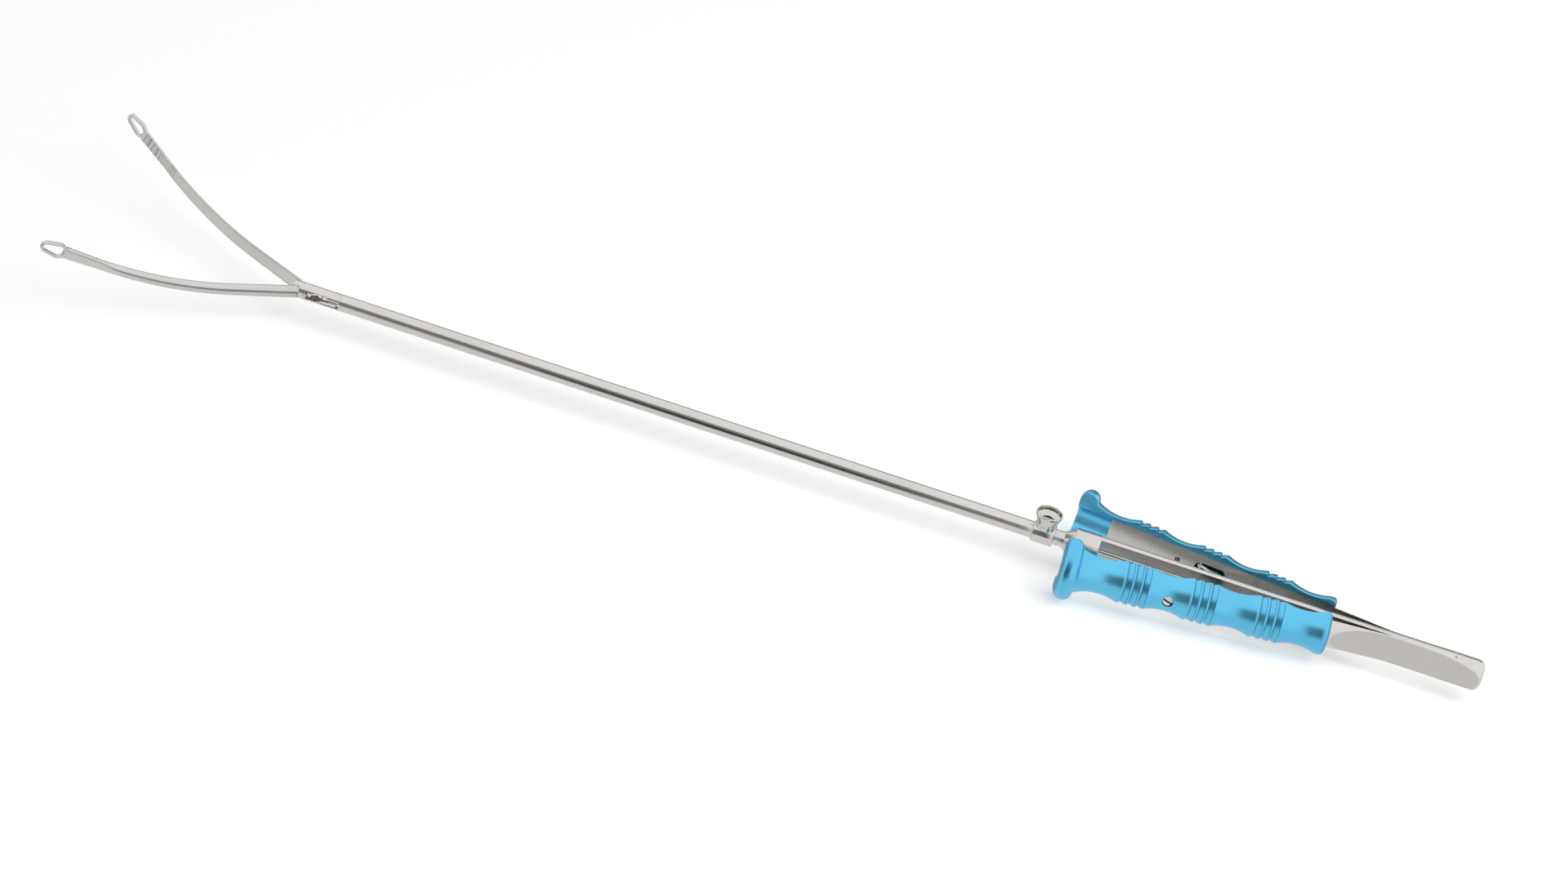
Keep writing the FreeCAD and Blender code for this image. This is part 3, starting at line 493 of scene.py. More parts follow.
# a mesh from grids that are placed first
def placedMesh(name, grids, side, hinge, shades=None):
    return meshFromGrids(name, [placed(grid, side, hinge) for grid in grids], shades)


# Half-round section from one lower corner over the top to the other: half of a
# superellipse, z = half width * cos^(2/exponent) and y = edge + (height - edge) *
# sin^(2/exponent), whose lower ends turn in through a small arc of radius edge to y = 0.
def halfRound(halfWidth, height, exponent, edge, steps=40, edgeSteps=6):
    angle = np.linspace(0, np.pi, steps)[None]
    power = 2.0 / exponent
    z = halfWidth * np.sign(np.cos(angle)) * np.abs(np.cos(angle)) ** power
    y = edge + (height - edge) * np.sin(angle) ** power
    turnAngle = np.linspace(0, np.pi / 2, edgeSteps)[None, :-1]
    zEdge = halfWidth - edge + edge * np.sin(turnAngle)
    yEdge = edge - edge * np.cos(turnAngle) + 0 * halfWidth
    return (np.hstack([zEdge, z, -zEdge[:, ::-1]]), np.hstack([yEdge, y, yEdge[:, ::-1]]))


# Tube, turned from one closed profile

tube = {"front": 14.52, "shoulder": 228.9, "rear": 245.0, "outer": 2.5, "rearOuter": 2.3,
        "bore": 1.9, "edge": 0.06, "edgePoints": 6, "runStations": 60, "port": 232.15,
        "portBore": 1.1, "drillLow": 0.5, "drillTop": 12.0, "drillSteps": 48}
profile = namedOutline(tube, ["front bore", "front outer edge", "shoulder outer edge",
                              "shoulder rearOuter", "rear rearOuter edge", "rear bore"],
                       tube["edgePoints"])
# the long outer run, after the arcs of the first two corners, gets stations of its own
at = 2 * tube["edgePoints"] - 1
share = np.linspace(0, 1, tube["runStations"])[:, None]
longRun = profile[at] + (profile[at + 1] - profile[at]) * share
profile = np.concatenate([profile[:at], longRun, profile[at + 2:]])
tubeMesh = meshFromGrids("tube", [turned(profile)])
hole = [(tube["drillLow"], 0.0), (tube["drillLow"], tube["portBore"]),
        (tube["drillTop"], tube["portBore"]), (tube["drillTop"], 0.0)]
portAxis = (tube["port"], 0.0)
drillGrid = turned(np.array(hole), "Z", portAxis, tube["drillSteps"])
portDrill = meshFromGrids("portDrill", [drillGrid])
finishPiece("shaftTube", combined(tubeMesh, [portDrill], "DIFFERENCE"), "shaft", ["outer_tube"],
            "tube_steel")
print("tube made")


# Flush port: collar with its boss, and the hub with its flared rim and open mouth

port = {"front": 228.92, "rear": 235.4, "radius": 3.2, "bore": 2.31, "edge": 0.3,
        "boreEdge": 0.08, "bossLow": 2.35, "bossBore": 0.9, "bossRadius": 3.1, "bossTop": 3.6,
        "bossEdge": 0.05, "neck": 3.05, "neckEdge": 0.03, "neckTop": 4.3, "neckBend": 0.8,
        "flareTop": 6.6, "rim": 3.95, "rimEdge": 0.3, "top": 7.4, "lip": 3.62, "lipEdge": 0.03,
        "mouth": 3.55, "mouthLow": 5.95, "mouthBend": 0.2, "seat": 2.0, "seatTop": 5.0,
        "seatEdge": 0.1, "seatEnd": 3.9, "through": 1.1}
collarProfile = namedOutline(port, ["front bore boreEdge", "front radius edge",
                                    "rear radius edge", "rear bore boreEdge"])
collarMesh = meshFromGrids("collar", [turned(collarProfile)])
bossProfile = namedOutline(port, ["bossLow bossBore", "bossLow bossRadius",
                                  "bossTop bossRadius bossEdge", "bossTop bossBore"])
bossMesh = meshFromGrids("boss", [turned(bossProfile, "Z", portAxis)])
collarMesh = combined(combined(collarMesh, [bossMesh], "UNION"), [portDrill], "DIFFERENCE")
finishPiece("portCollar", collarMesh, "shaft", ["flush_collar"], "port_steel")
hubProfile = namedOutline(port, [
    "bossTop through", "bossTop neck neckEdge", "neckTop neck neckBend",
    "flareTop rim rimEdge", "top rim rimEdge", "top lip lipEdge",
    "mouthLow mouth mouthBend", "seatTop seat seatEdge", "seatEnd seat", "seatEnd through"])
finishPiece("coneHub", meshFromGrids("hub", [turned(hubProfile, "Z", portAxis)]), "shaft",
            ["luer_hub"], "port_steel")
print("port made")


# Handle core: turned nose, slotted bar and the two feet of the leaves

core = {"noseFront": 238.4, "noseFace": 2.6, "coneEnd": 241.3, "coneRadius": 4.1,
        "radius": 4.65, "noseRear": 248.9, "seatBore": 2.31, "seatEnd": 245.0, "rodBore": 1.0,
        "noseEdge": 0.05, "faceEdge": 0.15, "coneEdge": 0.04, "barrelEdge": 0.12,
        "noseSteps": 128, "barHalf": 1.1, "slotHalf": 1.6, "slotEnd": 304.6, "butt": 366.5,
        "buttRounding": 2.4, "buttPoints": 14, "split": 338.0, "splitGap": 0.03,
        "leafInner": 1.15, "footInner": 1.1, "leafFront": 249.5, "footStations": 60,
        "leafStations": 200, "climbPoints": 26, "crossPoints": 16, "flatFrom": 0.9}
noseProfile = namedOutline(core, [
    "noseFront seatBore noseEdge", "noseFront noseFace faceEdge",
    "coneEnd coneRadius coneEdge", "coneEnd radius barrelEdge", "noseRear radius noseEdge",
    "noseRear rodBore noseEdge", "seatEnd rodBore", "seatEnd seatBore"])
finishPiece("handleNose", meshFromGrids("nose", [turned(noseProfile, steps=core["noseSteps"])]),
            "shaft", ["handle_nose"], "handle_steel")

scallop = {"floor": 1.65, "floorFront": 335.0, "floorRear": 347.0, "frontArc": 38.0,
           "rearArc": 70.0, "shade": 0.85, "shadeBelow": 0.98}


# the blank's radius along x: constant, then a quarter round of its own radius at the butt
def blankRadius(x):
    bend = core["buttRounding"]
    past = np.clip(x - (core["butt"] - bend), 0, bend)
    return core["radius"] - bend + np.sqrt(bend ** 2 - past ** 2)


# the scallop's height over the bar: flat between two arcs that rise from it tangentially
def scallopHeight(x):
    front, rear = scallop["frontArc"], scallop["rearArc"]
    before = np.clip(scallop["floorFront"] - x, 0, front)
    after = np.clip(x - scallop["floorRear"], 0, rear)
    return (scallop["floor"] + front - np.sqrt(front ** 2 - before ** 2)
            + rear - np.sqrt(rear ** 2 - after ** 2))


# even stations, and at the butt's rounding stations at even angles of its arc
def coreStations(start, stop, count):
    if stop < core["butt"]:
        return np.linspace(start, stop, count)
    turnAngle = np.linspace(0, np.pi / 2, core["buttPoints"])
    bend = core["butt"] - core["buttRounding"] + core["buttRounding"] * np.sin(turnAngle)
    return np.concatenate([np.linspace(start, bend[0], count)[:-1], bend])


# Segment of the round blank above y = inner, cut off at the scallop: over each station the
# chain climbs the circle to the lower of the scallop and the top, crosses, and comes down.
def segmentGrids(x, inner):
    radius = blankRadius(x)
    low = np.arcsin(inner / radius)
    high = np.arcsin(np.clip(scallopHeight(x) / radius, None, 1.0))
    climb, cross = core["climbPoints"], core["crossPoints"]
    angle = low[:, None] + (high - low)[:, None] * np.linspace(0, 1, climb)[None]
    climbY, climbZ = radius[:, None] * np.sin(angle), radius[:, None] * np.cos(angle)
    across = np.linspace(1, -1, cross)[None, 1:-1]
    topY = np.repeat(climbY[:, -1:], cross - 2, 1)
    topZ = climbZ[:, -1:] * across
    y = np.hstack([climbY, topY, climbY[:, ::-1]])
    z = np.hstack([climbZ, topZ, -climbZ[:, ::-1]])
    station = np.repeat(x[:, None], y.shape[1], 1)
    shell = np.stack([station, y, z], -1)
    base = np.stack([station, np.full_like(y, inner), z], -1)
    shade = np.zeros_like(y)
    shade[:, climb - 1:climb + cross - 1] = scallop["shade"] * (
        scallopHeight(x) < scallop["shadeBelow"] * radius)[:, None]
    grids = [shell, base, np.stack([shell[0], base[0]]), np.stack([shell[-1], base[-1]])]
    return grids, [shade, 0 * shade, shade[[0, 0]], shade[[-1, -1]]]


# painted shade: the leaves' flat sides that face the bar are painted darker, a painted dark
# reflection of the shaded parts they face: depth 1 where a face's normal points at the bar
def paintFlatShade(mesh, side):
    normal = readValues(mesh.polygons, "normal", width=3)
    sizes = readValues(mesh.polygons, "loop_total", np.int32)
    inner = np.repeat((normal[:, 1] * side < -core["flatFrom"]).astype(float), sizes)
    corner = readValues(mesh.loops, "vertex_index", np.int32)
    carried = readValues(mesh.attributes["depth"].data, "value")
    mesh.attributes.remove(mesh.attributes["depth"])
    writeDepth(mesh, "CORNER", np.maximum(inner, carried[corner]))


# a slot with round ends; its second centre lies a hair off the axis
window = {"front": 276.7, "length": 9.7, "half": 2.05, "off": 0.0001, "low": 0.2, "top": 8.0}
windowRear = window["front"] + window["length"] - window["half"]
centre, radius, normal = hullOutline((window["front"] + window["half"], 0), window["half"],
                                     (windowRear, window["off"]), window["half"])
windowGrid = prism(centre + radius * normal, window["low"], window["top"], "Y")
for side, label in ((1, "far"), (-1, "near")):
    start, stop = core["split"] + core["splitGap"] / 2, core["butt"]
    grids, shades = segmentGrids(coreStations(start, stop, core["footStations"]),
                                 core["footInner"])
    mirror = np.array([1.0, side, 1.0])
    footMesh = meshFromGrids("foot", [grid * mirror for grid in grids], shades)
    finishPiece(label + "Foot", footMesh, "shaft", [label + "_leaf_foot"], "handle_steel")
    start, stop = core["leafFront"], core["split"] - core["splitGap"] / 2
    grids, shades = segmentGrids(np.linspace(start, stop, core["leafStations"]),
                                 core["leafInner"])
    leafMesh = placedMesh("leaf", grids, side, handleHinge, shades)
    windowMesh = placedMesh("window", [windowGrid], side, handleHinge)
    leafMesh = combined(leafMesh, [windowMesh], "DIFFERENCE")
    piece = finishPiece(label + "Leaf", leafMesh, label + "_lever", [label + "_leaf"],
                        "handle_steel")
    paintFlatShade(piece.data, side)

# the bar's section: two flat sides and the blank's arcs above and below
bar = {"stations": 90, "columns": 14, "slotLead": 1.0, "slotCorner": 0.01, "slotSteps": 16,
       "slotReach": 6.0}
columns = bar["columns"]
barX = coreStations(core["noseRear"], core["butt"], bar["stations"])
barRadius = blankRadius(barX)[:, None]
across = np.linspace(-core["barHalf"], core["barHalf"], columns)[None]
top = np.sqrt(barRadius ** 2 - across ** 2)
barLoop = np.repeat(np.hstack([across, across[:, ::-1], across[:, :1]]), len(barX), 0)
barHeights = np.hstack([top, -top[:, ::-1], top[:, :1]])
barShell = np.stack([np.repeat(barX[:, None], barLoop.shape[1], 1), barLoop, barHeights], -1)
barCaps = [np.stack([barShell[end, :columns], barShell[end, columns:2 * columns][::-1]])
           for end in (0, -1)]
barMesh = meshFromGrids("bar", [barShell] + barCaps)
slotFront, slotRear = core["noseRear"] - bar["slotLead"], core["slotEnd"] + core["slotHalf"]
slotBend = core["slotHalf"] - bar["slotCorner"]
slotOutline = roundedOutline([(slotFront, -core["slotHalf"]), (slotRear, -core["slotHalf"]),
                              (slotRear, core["slotHalf"]), (slotFront, core["slotHalf"])],
                             [bar["slotCorner"], slotBend, slotBend, bar["slotCorner"]],
                             bar["slotSteps"])
slotMesh = meshFromGrids("slot", [prism(slotOutline, -bar["slotReach"], bar["slotReach"], "Y")])
finishPiece("slottedBar", combined(barMesh, [slotMesh], "DIFFERENCE"), "shaft", ["centre_bar"],
            "handle_steel")

# a bevelled pin through each of the butt's two seams, with darkened ends
seamPin = {"x": 357.4, "radius": 0.45, "end": 4.56, "bevelDrop": 0.07, "bevelWidth": 0.1,
           "steps": 40, "shade": 0.55, "shadeFrom": 4.4}
pinEnd = [(seamPin["end"] - seamPin["bevelDrop"], seamPin["radius"]),
          (seamPin["end"], seamPin["radius"] - seamPin["bevelWidth"]), (seamPin["end"], 0.0)]
pinProfile = np.array([(-height, reach) for height, reach in pinEnd[::-1]] + pinEnd)
seamGrids = [turned(pinProfile, "Z", (seamPin["x"], side * core["barHalf"]), seamPin["steps"])
             for side in (1, -1)]
seamShades = [seamPin["shade"] * (np.abs(grid[..., 2]) > seamPin["shadeFrom"])
              for grid in seamGrids]
finishPiece("seamPins", meshFromGrids("seamPins", seamGrids, seamShades), "shaft",
            ["seam_pins"], "pin_steel")
print("handle core made")


# Grips: a half-round shell over each leaf. Its outline along x is the flange's round rim,
# then shallow waists between groups of saw-shaped ridges, and the section is a half circle
# with a groove of the leaf's radius inside.

grip = {"front": 238.65, "rim": 2.7, "flange": 10.0, "crest": 6.8, "valley": 5.68,
        "ridgeStart": 257.1, "ridgeLength": 8.0, "pitch": 20.0, "groups": 3, "grooves": 3,
        "lead": 0.8, "groovePitch": 2.6, "grooveWidth": 1.9, "grooveDepth": 0.65,
        "wallStep": 0.07, "footLength": 0.42, "footRise": 0.12, "notch": 0.14,
        "notchHalf": 0.1, "softness": 0.06, "footBend": 0.02, "notchBend": 0.03,
        "overrun": 2.0, "tail": 2.3, "endRound": 1.0, "inner": 1.15, "groove": 4.7,
        "lip": 0.22, "arcPoints": 40, "bendPoints": 5, "endPoints": 12, "closest": 0.004,
        "columns": 72, "lipPoints": 5, "sharp": 40.0}
# painted shade for the grooves' feet, the notches, the wall behind the leaf and the screw's
# pocket
gripShade = {"grooveShade": 0.85, "grooveFrom": 0.8, "notchShade": 0.45, "notchFrom": 0.12,
             "notchTo": 0.4, "ridgeInset": 0.1, "wallSlack": 0.02, "pocketSlack": 0.01}


# points from (x0, r0) through (xm, rm) to (x1, r1) on their common circle: its centre lies
# where the upright bisectors of two of its chords meet
def arcThrough(x0, r0, xm, rm, x1, r1, steps):
    first, middle, last = np.array([x0, r0]), np.array([xm, rm]), np.array([x1, r1])
    left, right = middle - first, last - first
    twice = 2 * (left[0] * right[1] - left[1] * right[0])
    centre = first + np.array([right[1] * (left @ left) - left[1] * (right @ right),
                               left[0] * (right @ right) - right[0] * (left @ left)]) / twice
    angles = [math.atan2(point[1] - centre[1], point[0] - centre[0])
              for point in (first, middle, last)]
    if (twice < 0) != (angles[0] > angles[2]):
        angles[2] += -2 * math.pi if twice < 0 else 2 * math.pi
    angle = np.linspace(angles[0], angles[2], steps)
    reach = np.linalg.norm(first - centre)
    return centre + reach * np.stack([np.cos(angle), np.sin(angle)], -1)


# One group of ridges from start: each groove falls along a steep wall, rises slowly from its
# foot and ends in a small notch. The points beyond the group only lead the bends in and out.
def ridgeGroup(start):
    crest, drop = grip["crest"], grip["crest"] - grip["grooveDepth"]
    width, half = grip["grooveWidth"], grip["notchHalf"]
    profile = np.array([(0.0, crest), (grip["wallStep"], drop),
                        (grip["footLength"], drop + grip["footRise"]), (width - half, crest),
                        (width, crest - grip["notch"]), (width + half, crest)])
    saw = start + grip["lead"] + np.arange(grip["grooves"]) * grip["groovePitch"]
    tips = np.stack([saw[:, None] + profile[:, 0], np.tile(profile[:, 1], (len(saw), 1))], -1)
    end = start + grip["ridgeLength"]
    corners = np.concatenate([[[start - grip["overrun"], crest]], tips.reshape(-1, 2),
                              [[end + grip["overrun"], crest], [end, 0.0], [start, 0.0]]])
    bends = [grip["softness"], grip["softness"], grip["footBend"], grip["notchBend"],
             grip["notchBend"], grip["notchBend"]] * grip["grooves"]
    points = grip["bendPoints"]
    soft = roundedOutline(corners, [0] + bends + [0, 0, 0], points)
    return np.concatenate([soft[points:points * (len(bends) + 1)], [[end, crest]]])


# the outline along x: the rim's arc, then a waist and a group of ridges in turn, a last
# waist and the rounded rear end
def gripOutline():
    rimHeight, arcPoints = grip["flange"] - grip["rim"], grip["arcPoints"]
    hereX, hereR = grip["front"] + 2 * grip["rim"], rimHeight
    runs = [arcThrough(grip["front"], rimHeight, grip["front"] + grip["rim"], grip["flange"],
                       hereX, hereR, arcPoints)]
    for group in range(grip["groups"] + 1):
        start = grip["ridgeStart"] + group * grip["pitch"]
        runs.append(arcThrough(hereX, hereR, (hereX + start) / 2, grip["valley"], start,
                               grip["crest"], arcPoints))
        if group < grip["groups"]:
            runs.append(ridgeGroup(start))
        hereX, hereR = start + grip["ridgeLength"], grip["crest"]
    end = grip["ridgeStart"] + grip["groups"] * grip["pitch"] + grip["tail"]
    turnAngle = np.linspace(0, np.pi / 2, grip["endPoints"])
    bend = grip["endRound"]
    runs.append(np.stack([end - bend + bend * np.sin(turnAngle),
                          grip["crest"] - bend + bend * np.cos(turnAngle)], -1))
    outline = np.concatenate(runs)
    apart = np.linalg.norm(np.diff(outline, axis=0), axis=1)
    return outline[np.concatenate([[True], apart > grip["closest"]])]


# Outer wall: y = inner + radius * cos, z = radius * sin, between two small arcs of the lip's
# radius at the section's ends. Inner wall: the same with the groove's radius, down to y =
# inner. Strips join the two along their edges and at both ends.
def gripGrids():
    outline = gripOutline()
    x, radius = outline[:, :1], outline[:, 1:]
    lip, inner, groove = grip["lip"], grip["inner"], grip["groove"]
    swing = np.linspace(-1, 1, grip["columns"])[None] * np.arccos(lip / radius)
    outerY, outerZ = radius * np.cos(swing), radius * np.sin(swing)
    turnAngle = np.linspace(0, np.pi / 2, grip["lipPoints"])[None, 1:]
    edgeY = lip - lip * np.sin(turnAngle) + 0 * radius
    edgeZ = np.sqrt(radius ** 2 - lip ** 2) - lip + lip * np.cos(turnAngle)
    outY = inner + np.hstack([edgeY[:, ::-1], outerY, edgeY])
    outZ = np.hstack([-edgeZ[:, ::-1], outerZ, edgeZ])
    inAngle = math.acos(inner / groove) * np.linspace(-1, 1, outY.shape[1])[None]
    inY = groove * np.cos(inAngle) + 0 * radius
    inZ = groove * np.sin(inAngle) + 0 * radius
    station = np.repeat(x, outY.shape[1], 1)
    outWall, inWall = np.stack([station, outY, outZ], -1), np.stack([station, inY, inZ], -1)
    return [outWall, inWall, np.stack([outWall[:, 0], inWall[:, 0]], 1),
            np.stack([outWall[:, -1], inWall[:, -1]], 1),
            np.stack([outWall[0], inWall[0]]), np.stack([outWall[-1], inWall[-1]])]


# Painted shade, as the finish's depth attribute. In the ridge groups it is (sunk - from) /
# (1 - from) at the grooves' feet, where sunk is the share of the groove's depth, and a set value
# in the notches, which paints them as dark lines. It is 1, full painted shade, on the wall that
# faces the leaf and on the screw's pocket.
def paintGripShade(mesh, side):
    x, y, z = unplaced(mesh, side, handleHinge).T
    paint = gripShade
    inGroup = (x - grip["ridgeStart"]) % grip["pitch"] < grip["ridgeLength"]
    onRidges = inGroup & (x > grip["ridgeStart"]) & (y > grip["inner"] + paint["ridgeInset"])
    sunk = np.clip((grip["crest"] - np.hypot(y - grip["inner"], z)) / grip["grooveDepth"], 0, 1)
    inNotch = (sunk > paint["notchFrom"]) & (sunk < paint["notchTo"])
    foot = np.clip((sunk - paint["grooveFrom"]) / (1 - paint["grooveFrom"]), 0, 1)
    ridged = np.where(inNotch, paint["notchShade"], paint["grooveShade"] * foot) * onRidges
    onPocket = np.hypot(x - screw["x"], z) < screw["pocket"] + paint["pocketSlack"]
    onGroove = np.hypot(y, z) < grip["groove"] + paint["wallSlack"]
    behindLeaf = onGroove & (x > core["leafFront"]) | onPocket & (y > grip["groove"])
    corner = readValues(mesh.loops, "vertex_index", np.int32)
    starts = readValues(mesh.polygons, "loop_start", np.int32)
    hidden = np.minimum.reduceat(behindLeaf[corner].astype(int), starts)
    sizes = np.diff(np.append(starts, len(corner)))
    writeDepth(mesh, "CORNER", np.maximum(ridged[corner], np.repeat(hidden, sizes)))


# Screws, worked out about the y axis at x: shank, head with a slightly domed face, and slot

screw = {"x": 271.4, "axis": 0.0, "start": 1.15, "pocket": 1.65, "pocketTop": 12.0,
         "pocketSteps": 64, "seat": 5.28, "shank": 0.9, "shankBend": 0.05, "headRadius": 1.6,
         "headBend": 0.1, "rim": 6.41, "rimBend": 0.14, "face": 6.48, "dome": 0.08,
         "domeEdge": 0.2, "domePoints": 8, "steps": 72, "slotHalf": 0.3, "slotTilt": -20.0,
         "slotReach": 3.0, "slotDepth": 0.5, "slotOver": 1.0, "slotBend": 0.02,
         "slotShade": 0.9, "shadeDepth": 0.2}
screwAxis = (screw["x"], screw["axis"])


# a turned profile whose face falls by dome * (radius / head radius)^2; the rounded outline
# gives all but its last eight points, which are the end of the rim's arc and the axis
def screwGrid():
    reach = np.linspace(screw["headRadius"] - screw["domeEdge"], 0.0, screw["domePoints"])
    fall = screw["dome"] * (reach / screw["headRadius"]) ** 2
    face = np.stack([screw["face"] - fall, reach], -1)
    outline = namedOutline(screw, [
        "start axis", "start shank shankBend", "seat shank", "seat headRadius headBend",
        "rim headRadius rimBend", "rim axis"])
    profile = np.concatenate([outline[:-8], face, outline[:1]])
    return yFirst(turned(profile, "Z", screwAxis, screw["steps"]))


# the slot across the head: a long thin box turned by the tilt about the screw's axis
def screwSlotGrid():
    tilt = math.radians(screw["slotTilt"])
    along = np.array([math.cos(tilt), math.sin(tilt)]) * screw["slotReach"]
    beside = np.array([-math.sin(tilt), math.cos(tilt)]) * screw["slotHalf"]
    corners = [np.array(screwAxis) + along * endwise + beside * sideways
               for endwise, sideways in squareCorners]
    return prism(roundedOutline(corners, screw["slotBend"], 3),
                 screw["face"] - screw["slotDepth"], screw["face"] + screw["slotOver"], "Y")


# painted shade: the slot's floor and lower walls are painted dark
def paintSlotShade(mesh, side):
    height = unplaced(mesh, side, handleHinge)[:, 1]
    sunk = height < screw["face"] - screw["shadeDepth"]
    writeDepth(mesh, "POINT", np.where(sunk, screw["slotShade"], 0.0))


pocket = np.array([(screw["seat"], 0.0), (screw["seat"], screw["pocket"]),
                   (screw["pocketTop"], screw["pocket"]), (screw["pocketTop"], 0.0)])
pocketGrid = yFirst(turned(pocket, "Z", screwAxis, screw["pocketSteps"]))
for side, label in ((1, "far"), (-1, "near")):
    gripMesh = placedMesh("grip", gripGrids(), side, handleHinge)
    pocketMesh = placedMesh("screwPocket", [pocketGrid], side, handleHinge)
    piece = finishPiece(label + "Grip", combined(gripMesh, [pocketMesh], "DIFFERENCE"),
                        label + "_lever", [label + "_grip"], "blue_anodised", grip["sharp"])
    paintGripShade(piece.data, side)
    screwMesh = placedMesh("screw", [screwGrid()], side, handleHinge)
    slotMesh = placedMesh("screwSlot", [screwSlotGrid()], side, handleHinge)
    piece = finishPiece(label + "Screw", combined(screwMesh, [slotMesh], "DIFFERENCE"),
                        label + "_lever", [label + "_grip_screw"], "pin_steel")
    paintSlotShade(piece.data, side)
print("grips made")


# Jaws: a half-round arm along a straight run, a long bow and a straight end, a toothed pad
# and an open ring. The arm, the pad and the teeth are one section carried along the path.

jaw = {"root": 0.4, "gap": 0.04, "straight": 18.8, "bowRadius": 125.0, "bow": 18.7,
       "rootRadius": 1.95, "neckRadius": 1.55, "armPower": 2.0, "edge": 0.22,
       "padStart": 3.0, "padLead": 0.8, "padHalf": 1.42, "padEndHalf": 1.8, "padPower": 4.2,
       "padEnd": 13.6, "thick": 1.3, "armStations": 90, "neckEnd": 4.6, "neckStations": 24,
       "padFrom": 4.8, "padStations": 20, "sharp": 38.0}
teeth = {"count": 12, "start": -2.7, "pitch": 1.24, "width": 0.95, "depth": 0.22,
         "shade": 0.55, "cuts": (0.0, 0.02, 0.5, 0.98, 1.0), "slack": 0.01}
ring = {"rear": 15.6, "rearRadius": 2.45, "front": 19.55, "frontRadius": 1.75, "rim": 0.87,
        "bend": 0.3, "steps": 60}
bowAngle = math.radians(jaw["bow"])
bowLength = jaw["bowRadius"] * bowAngle
bowEnd = jaw["straight"] + bowLength


# The path's point and its direction across, for a distance along it: straight ahead, then
# round the bow by distance / radius, then straight on at the bow's angle.
def jawPath(distance):
    along = np.clip(distance - jaw["straight"], 0, bowLength)
    beyond = np.clip(distance - jaw["straight"] - bowLength, 0, None)
    theta = along / jaw["bowRadius"]
    before = np.minimum(distance, jaw["straight"])
    x = jaw["root"] - before - jaw["bowRadius"] * np.sin(theta) - beyond * math.cos(bowAngle)
    z = jaw["bowRadius"] * (1 - np.cos(theta)) + beyond * math.sin(bowAngle)
    return x, z, np.sin(theta), np.cos(theta)


# a point of a section: the path's point + across * its direction across, and outward in y
def onJaw(distance, across, outward):
    x, z, acrossX, acrossZ = jawPath(distance)
    return np.stack([x + across * acrossX, jaw["gap"] + outward, z + across * acrossZ], -1)


# 3 * share^2 - 2 * share^3, where share runs from 0 at start to 1 at stop
def smoothStep(value, start, stop):
    share = np.clip((value - start) / (stop - start), 0, 1)
    return share * share * (3 - 2 * share)


# The half-round section narrows along the arm, and blends by a smooth step into the pad's
# flatter and squarer one. The flat side rises by V-shaped notches, 1 - |phase| / half a
# notch, which are the gaps between the teeth.
def jawGrids():
    firstTooth = bowEnd + teeth["start"]
    tooth = firstTooth + np.arange(teeth["count"])[:, None] * teeth["pitch"]
    cuts = (tooth + teeth["width"] * np.array([teeth["cuts"]])).ravel()
    distance = np.unique(np.concatenate([
        np.linspace(0, bowEnd, jaw["armStations"]),
        np.linspace(bowEnd, bowEnd + jaw["neckEnd"], jaw["neckStations"]), cuts,
        np.linspace(bowEnd + jaw["padFrom"], bowEnd + jaw["padEnd"], jaw["padStations"])]))
    distance = distance[:, None]
    armShare = np.clip(distance / (bowEnd + jaw["padStart"]), 0, 1)
    armRadius = jaw["rootRadius"] + (jaw["neckRadius"] - jaw["rootRadius"]) * armShare
    pad = smoothStep(distance, firstTooth - jaw["padLead"], bowEnd + jaw["padStart"])
    padShare = np.clip((distance - bowEnd) / jaw["padEnd"], 0, 1)
    padHalf = jaw["padHalf"] + (jaw["padEndHalf"] - jaw["padHalf"]) * padShare
    halfWidth = armRadius + (padHalf - armRadius) * pad
    height = armRadius + (jaw["thick"] - armRadius) * pad
    exponent = jaw["armPower"] + (jaw["padPower"] - jaw["armPower"]) * pad
    z, y = halfRound(halfWidth, height, exponent, jaw["edge"])
    halfNotch = 0.5 * teeth["width"] / teeth["pitch"]
    phase = np.abs(((distance - firstTooth) / teeth["pitch"]) % 1.0 - halfNotch)
    lastEnd = tooth[-1, 0] + teeth["width"]
    toothed = (distance > firstTooth - teeth["slack"]) & (distance < lastEnd + teeth["slack"])
    notch = np.where(toothed, teeth["depth"] * np.clip(1 - phase / halfNotch, 0, 1), 0.0)
    shell = onJaw(distance + 0 * z, z, np.maximum(y, notch))
    base = onJaw(distance + 0 * z, z, notch + 0 * z)
    # painted shade in the gaps between the teeth, darkest at the bottom of each notch
    shade = teeth["shade"] * notch / teeth["depth"] + 0 * z
    grids = [shell, base, np.stack([shell[0], base[0]]), np.stack([shell[-1], base[-1]])]
    return grids, [0 * shade, shade, 0 * grids[2][..., 0], 0 * grids[3][..., 0]]


# the ring: a rounded rectangle carried round the middle line of the two-circle outline
def ringGrid():
    half, thick = ring["rim"] / 2, jaw["thick"]
    section = roundedOutline([(-half, 0.0), (half, 0.0), (half, thick), (-half, thick)],
                             ring["bend"])
    centre, radius, normal = hullOutline((ring["rear"], 0.0), ring["rearRadius"] - half,
                                         (ring["front"], 0.0), ring["frontRadius"] - half,
                                         ring["steps"])
    flat = centre[:, None] + (radius[:, None] + section[None, :, :1]) * normal[:, None]
    return onJaw(bowEnd + flat[..., 0], flat[..., 1], section[None, :, 1] + 0 * flat[..., 0])


# Hubs: a disc round the pivot, a tang that reaches back to the link's pin, and a web to the
# arm. The far hub lies above the middle plane and the near one below it.

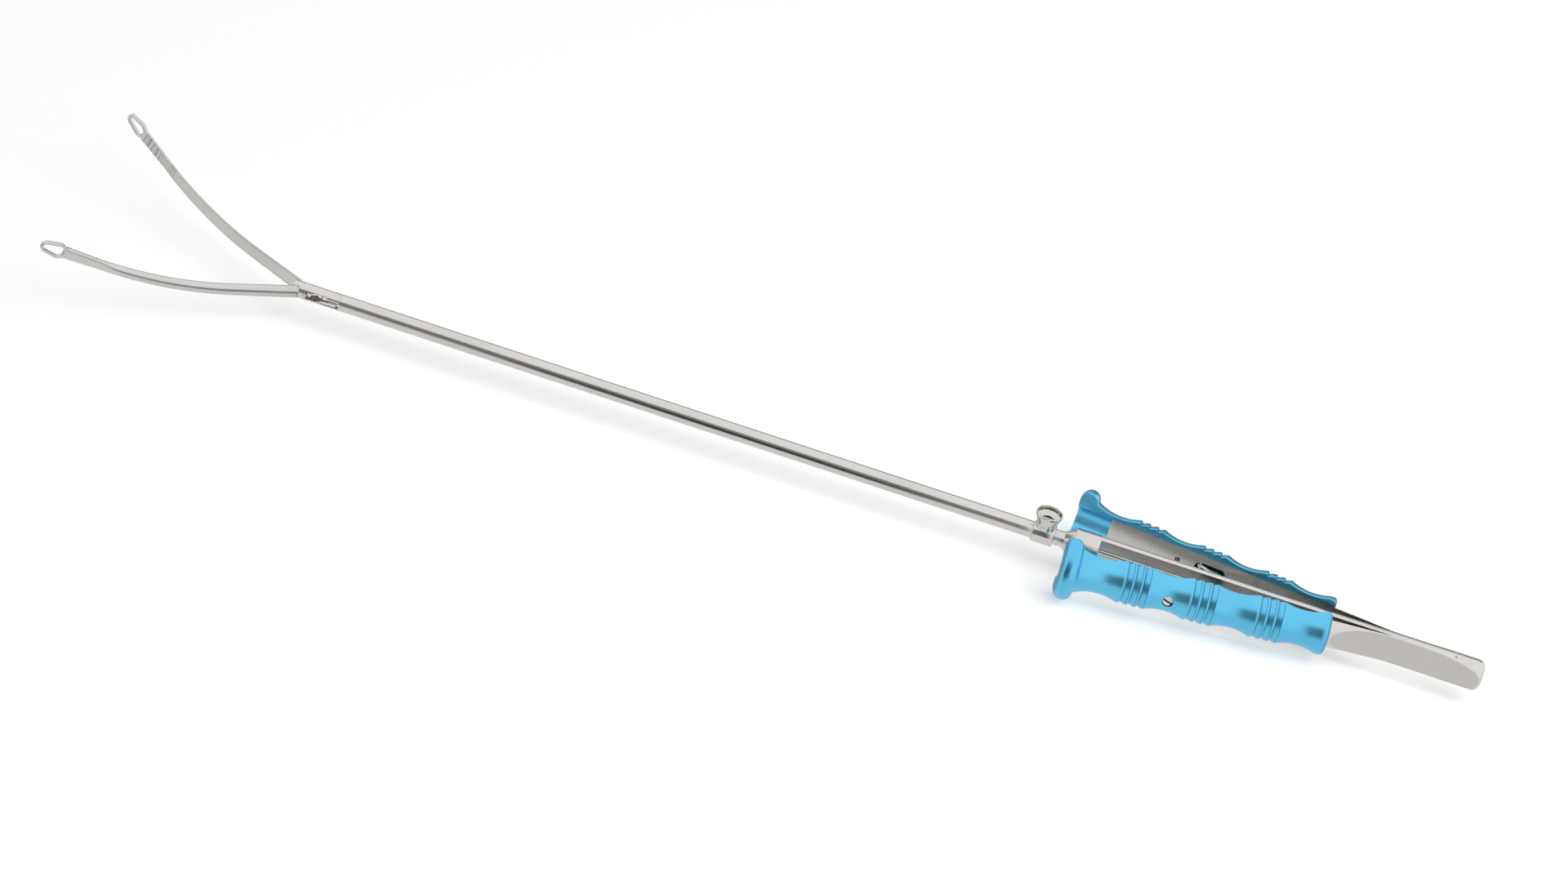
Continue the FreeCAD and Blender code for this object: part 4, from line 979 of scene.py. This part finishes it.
hub = {"radius": 1.5, "low": 0.05, "tangTop": 0.62, "top": 1.24, "tangReach": 2.8,
       "tangHalf": 0.55, "tangOver": 0.001, "tangAngle": -20.0, "webSide": 0.05, "web": 0.75,
       "webReach": 3.85, "webBend": 0.03, "pivotBore": 0.63, "pinBore": 0.35,
       "boreReach": 3.0, "steps": 64}


# a jaw's point with its height times the side as well
def hubPlaced(grid, side):
    return placed(grid * np.array([1.0, 1.0, side]), side, jawHinge)


tangAngle = math.radians(hub["tangAngle"])
pivot = np.array([jawHinge["x"], 0.0])
tangPin = pivot + hub["tangReach"] * np.array([math.cos(tangAngle), math.sin(tangAngle)])
angle = np.linspace(0, 2 * np.pi, hub["steps"] + 1)[:, None]
circle = np.hstack([np.cos(angle), np.sin(angle)])
tangHalf = hub["tangHalf"]
centre, radius, normal = hullOutline(pivot, tangHalf + hub["tangOver"], tangPin, tangHalf)
webRear, webFront = jawHinge["x"], jawHinge["x"] - hub["webReach"]
webOutline = roundedOutline([(webFront, hub["webSide"]), (webRear, hub["webSide"]),
                             (webRear, hub["web"]), (webFront, hub["web"])], hub["webBend"], 3)
hubGrid = prism(pivot + hub["radius"] * circle, hub["low"], hub["top"])
lugGrids = [prism(centre + radius * normal, hub["low"], hub["tangTop"]),
            prism(webOutline, hub["low"], hub["top"])]
boreGrids = [prism(place + size * circle, -hub["boreReach"], hub["boreReach"])
             for place, size in ((pivot, hub["pivotBore"]), (tangPin, hub["pinBore"]))]
for side, label in ((1, "far"), (-1, "near")):
    hubMesh = meshFromGrids("hub", [hubPlaced(hubGrid, side)])
    extras = [meshFromGrids("lug", [hubPlaced(grid, side)]) for grid in lugGrids]
    armGrids, armShades = jawGrids()
    extras.append(placedMesh("arm", armGrids, side, jawHinge, armShades))
    extras.append(placedMesh("ring", [ringGrid()], side, jawHinge))
    bores = [meshFromGrids("bore", [hubPlaced(grid, side)]) for grid in boreGrids]
    whole = combined(combined(hubMesh, extras, "UNION"), bores, "DIFFERENCE")
    finishPiece(label + "Jaw", whole, label + "_jaw", [label + "_jaw"], "jaw_steel",
                jaw["sharp"])
print("jaws made")
